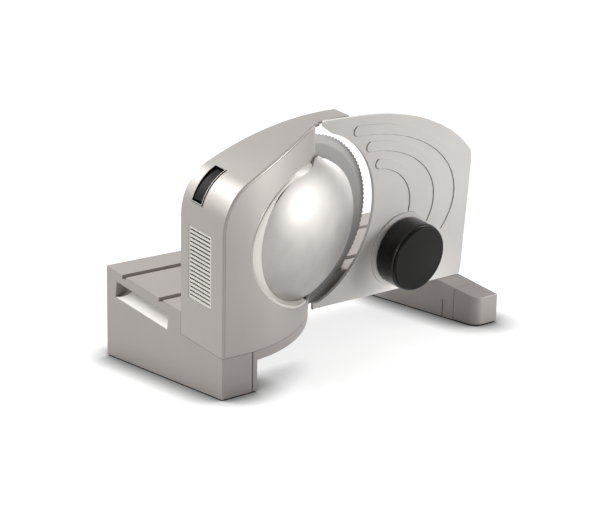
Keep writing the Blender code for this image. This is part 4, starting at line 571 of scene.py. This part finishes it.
def crease_rows(path):
    """A narrow strip along a path on the plate, left out where the dial ring covers it."""
    rows = []
    last = len(path) - 1
    for i, (x, w) in enumerate(path):
        if math.dist((x, w), (KNOB_X, KNOB_W)) < DIAL_R + CREASE_WIDE:
            continue
        ahead, behind = path[min(i + 1, last)], path[max(i - 1, 0)]
        along = math.atan2(ahead[1] - behind[1], ahead[0] - behind[0])
        near = (x + math.sin(along) * CREASE_WIDE, w - math.cos(along) * CREASE_WIDE)
        rows.append([leaning(x, CREASE_SINK, w), leaning(x, -CREASE_RISE, w),
                     leaning(near[0], -CREASE_RISE, near[1]), leaning(near[0], CREASE_SINK, near[1])])
    return rows


def corner_rows():
    """The nearly square lower corner of the plate, from the round one outwards, in the plate's thickness."""
    inner = []
    for i in range(CORNER_STEPS + 1):
        turn = math.radians(CORNER_TURNS[0] + (CORNER_TURNS[1] - CORNER_TURNS[0]) * i / CORNER_STEPS)
        inner.append((CORNER_AT[0] + CORNER_R * math.cos(turn), CORNER_AT[1] + CORNER_R * math.sin(turn)))
    loop = list(CORNER_OUTLINE) + inner[::-1]
    return [[leaning(BLADE_X + x, v, BLADE_W + s) for x, s in loop] for v in CORNER_V]


plate_satin = metallic_paint("plate_satin", PLATE_COLOUR, rough=0.42, metal=0.0, peel=0.03, specular=0.3)
# The dark strips along the ribs are painted shade.
rib_shade_paint = moulded("rib_shade_paint", RIB_SHADE_COLOUR)
dress("stop_plate", plate_satin, 0.0003)
added("plate_corner", corner_rows(), plate_satin, "stop")
for number, rib in enumerate(RIBS):
    added("rib_crease_%d" % (number + 1), crease_rows(rib_shade_line(*rib)), rib_shade_paint, "stop")

# --- Knob -------------------------------------------------------------------------------------------------
# The thickness knob is a deep black drum with a glossy cap, on a pale ring that stays with the plate. A
# small pale bar in the drum's back edge is a painted glint.
KNOB_COLOUR = (0.0045, 0.0045, 0.004)
CAP_COLOUR = (0.007, 0.0068, 0.006)
GLINT_TURN = -128
GLINT_R = (0.0318, 0.0336)
GLINT_WIDE = 0.0009
GLINT_LEVELS = (0.0030, 0.0062)


def bar_rows(turn, reach, half, levels):
    """A small radial bar about the knob's axis, between two heights over the plate."""
    angle = math.radians(turn)
    out = (math.cos(angle), math.sin(angle))
    side = (-out[1] * half, out[0] * half)
    low, high = levels
    rows = []
    for radius in reach:
        x, w = KNOB_X + out[0] * radius, KNOB_W + out[1] * radius
        rows.append([leaning(x - side[0], -low, w - side[1]), leaning(x + side[0], -low, w + side[1]),
                     leaning(x + side[0], -high, w + side[1]), leaning(x - side[0], -high, w - side[1])])
    return rows


knob_black = moulded("knob_black", KNOB_COLOUR, 0.27, depth=0.08, specular=0.32)
cap_black = moulded("cap_black", CAP_COLOUR, 0.30, depth=0.05, specular=0.12)
dress("knob_body", knob_black, 0.0006)
dress("knob_cap", cap_black, 0.0003)
dress("dial_ring", plate_satin, 0.0002)
# A pale bar on the drum's back edge: a painted glint.
added("knob_painted_glint", bar_rows(GLINT_TURN, GLINT_R, GLINT_WIDE, GLINT_LEVELS), line_highlight_paint, "knob")

# --- Carriage ---------------------------------------------------------------------------------------------
# On the food side a carriage with a pusher wall runs on the deck, and a spiked holder hooks over the wall.
for part in ("carriage_plate", "pusher_wall", "thumb_guard"):
    dress(part, base_paint, 0.0005)
for part in ("front_runner", "rear_runner", "remnant_holder"):
    dress(part, dark_plastic, 0.0003)
dress("holder_grip", switch_plastic)

# --- Table, light and camera ------------------------------------------------------------------------------
# A white table carries the machine under a white sky. A wide soft sun stands overhead, and two soft lamps
# add light from the left and from low at the right, where it grazes the stop plate. A narrow lamp reaches
# under the plate.
FLOOR_REACH = 4.0
TABLE_COLOUR = 0.38
TABLE_GLOW = 0.78
SHADOW_PAINT_REACH = 0.035
SHADOW_PAINT_DEPTH = 2.5
SKY_LIGHT = 0.25
SUN_POWER = 2.8
SUN_SPREAD = 40
SPOT_POWER = 26
SPOT_CONE = 9
CAMERA_PLACE = (-1.0710387, -1.1425210, 0.4957285)
CAMERA_TURN = (74.78552, -1.09060, -42.40378)
FOCAL = 105.696
SENSOR = 36
NEAREST_SEEN = 0.05
SPOT_SIZE = 0.03


def worked_out(nodes, links, operation, source, other):
    """A socket with the result of a sum on a socket and on another socket or a number."""
    node = nodes.new("ShaderNodeMath")
    node.operation = operation
    links.new(source, node.inputs[0])
    if isinstance(other, float):
        node.inputs[1].default_value = other
    else:
        links.new(other, node.inputs[1])
    return node.outputs[0]


def seen(nodes, links):
    """One where the camera sees a surface straight, in a reflection or through glass, otherwise zero."""
    path = nodes.new("ShaderNodeLightPath")
    result = path.outputs["Is Camera Ray"]
    for ray in ("Is Glossy Ray", "Is Transmission Ray"):
        result = worked_out(nodes, links, "MAXIMUM", result, path.outputs[ray])
    return result


def make_table():
    """A wide white sheet that stays white to the camera, with a painted contact shadow where the machine
    stands close.
    """
    shape = bmesh.new()
    bmesh.ops.create_grid(shape, x_segments=1, y_segments=1, size=FLOOR_REACH)
    mesh = bpy.data.meshes.new("table")
    shape.to_mesh(mesh)
    shape.free()
    table = bpy.data.objects.new("table", mesh)
    bpy.context.scene.collection.objects.link(table)
    material = bpy.data.materials.new("table_white")
    material.use_nodes = True
    nodes, links = material.node_tree.nodes, material.node_tree.links
    nodes.clear()
    # Occlusion darkens the table's colour and glow near the machine: a painted contact shadow.
    contact = nodes.new("ShaderNodeAmbientOcclusion")
    contact.inputs["Distance"].default_value = SHADOW_PAINT_REACH
    painted_shadow_factor = worked_out(nodes, links, "POWER", contact.outputs["AO"], SHADOW_PAINT_DEPTH)
    shade = nodes.new("ShaderNodeVectorMath")
    shade.operation = "SCALE"
    shade.inputs[0].default_value = (TABLE_COLOUR,) * 3
    links.new(painted_shadow_factor, shade.inputs["Scale"])
    matt = nodes.new("ShaderNodeBsdfDiffuse")
    links.new(shade.outputs[0], matt.inputs["Color"])
    full = worked_out(nodes, links, "MULTIPLY", seen(nodes, links), TABLE_GLOW)
    glow = nodes.new("ShaderNodeEmission")
    links.new(worked_out(nodes, links, "MULTIPLY", full, painted_shadow_factor), glow.inputs["Strength"])
    both = nodes.new("ShaderNodeAddShader")
    out = nodes.new("ShaderNodeOutputMaterial")
    links.new(matt.outputs[0], both.inputs[0])
    links.new(glow.outputs[0], both.inputs[1])
    links.new(both.outputs[0], out.inputs["Surface"])
    mesh.materials.append(material)


def make_sky():
    """A sky that looks white and lights the machine only a little."""
    sky = bpy.data.worlds.new("studio")
    bpy.context.scene.world = sky
    sky.use_nodes = True
    nodes, links = sky.node_tree.nodes, sky.node_tree.links
    nodes.clear()
    level = nodes.new("ShaderNodeMapRange")
    level.inputs["To Min"].default_value = SKY_LIGHT
    level.inputs["To Max"].default_value = 1.0
    light = nodes.new("ShaderNodeBackground")
    out = nodes.new("ShaderNodeOutputWorld")
    links.new(seen(nodes, links), level.inputs["Value"])
    links.new(level.outputs["Result"], light.inputs["Strength"])
    links.new(light.outputs[0], out.inputs["Surface"])


def aim(lamp, place, target):
    lamp.location = place
    lamp.rotation_euler = (Vector(target) - Vector(place)).to_track_quat("-Z", "Y").to_euler()
    bpy.context.scene.collection.objects.link(lamp)


def soft_light(name, place, size, power, target):
    data = bpy.data.lights.new(name, "AREA")
    data.shape = "SQUARE"
    data.size = size
    data.energy = power
    aim(bpy.data.objects.new(name, data), place, target)


def soft_sun(name, place):
    data = bpy.data.lights.new(name, "SUN")
    data.energy = SUN_POWER
    data.angle = math.radians(SUN_SPREAD)
    aim(bpy.data.objects.new(name, data), place, (0, 0, 0))


def low_spot(name, place, target):
    """A narrow lamp that reaches under the stop plate, to the side of the arm."""
    data = bpy.data.lights.new(name, "SPOT")
    data.energy = SPOT_POWER
    data.spot_size = math.radians(SPOT_CONE)
    data.spot_blend = 1
    data.shadow_soft_size = SPOT_SIZE
    aim(bpy.data.objects.new(name, data), place, target)


def make_camera():
    data = bpy.data.cameras.new("photo_camera")
    data.lens = FOCAL
    data.sensor_width = SENSOR
    data.clip_start = NEAREST_SEEN
    camera = bpy.data.objects.new("photo_camera", data)
    camera.location = CAMERA_PLACE
    camera.rotation_euler = Euler([math.radians(angle) for angle in CAMERA_TURN])
    bpy.context.scene.collection.objects.link(camera)
    bpy.context.scene.camera = camera


make_table()
make_sky()
soft_sun("sun_left", (-0.38, 0.38, 1.0))
soft_light("light_left", (-0.9, 0.3, 0.8), 0.5, 3.0, (0, 0, 0.1))
soft_light("light_right", (0.72, -0.62, 0.25), 0.35, 5.0, (0.08, -0.04, 0.08))
low_spot("light_low", (-0.32, -0.85, 0.085), (0.105, 0.0, 0.016))
make_camera()
bpy.context.scene.view_settings.view_transform = "Standard"
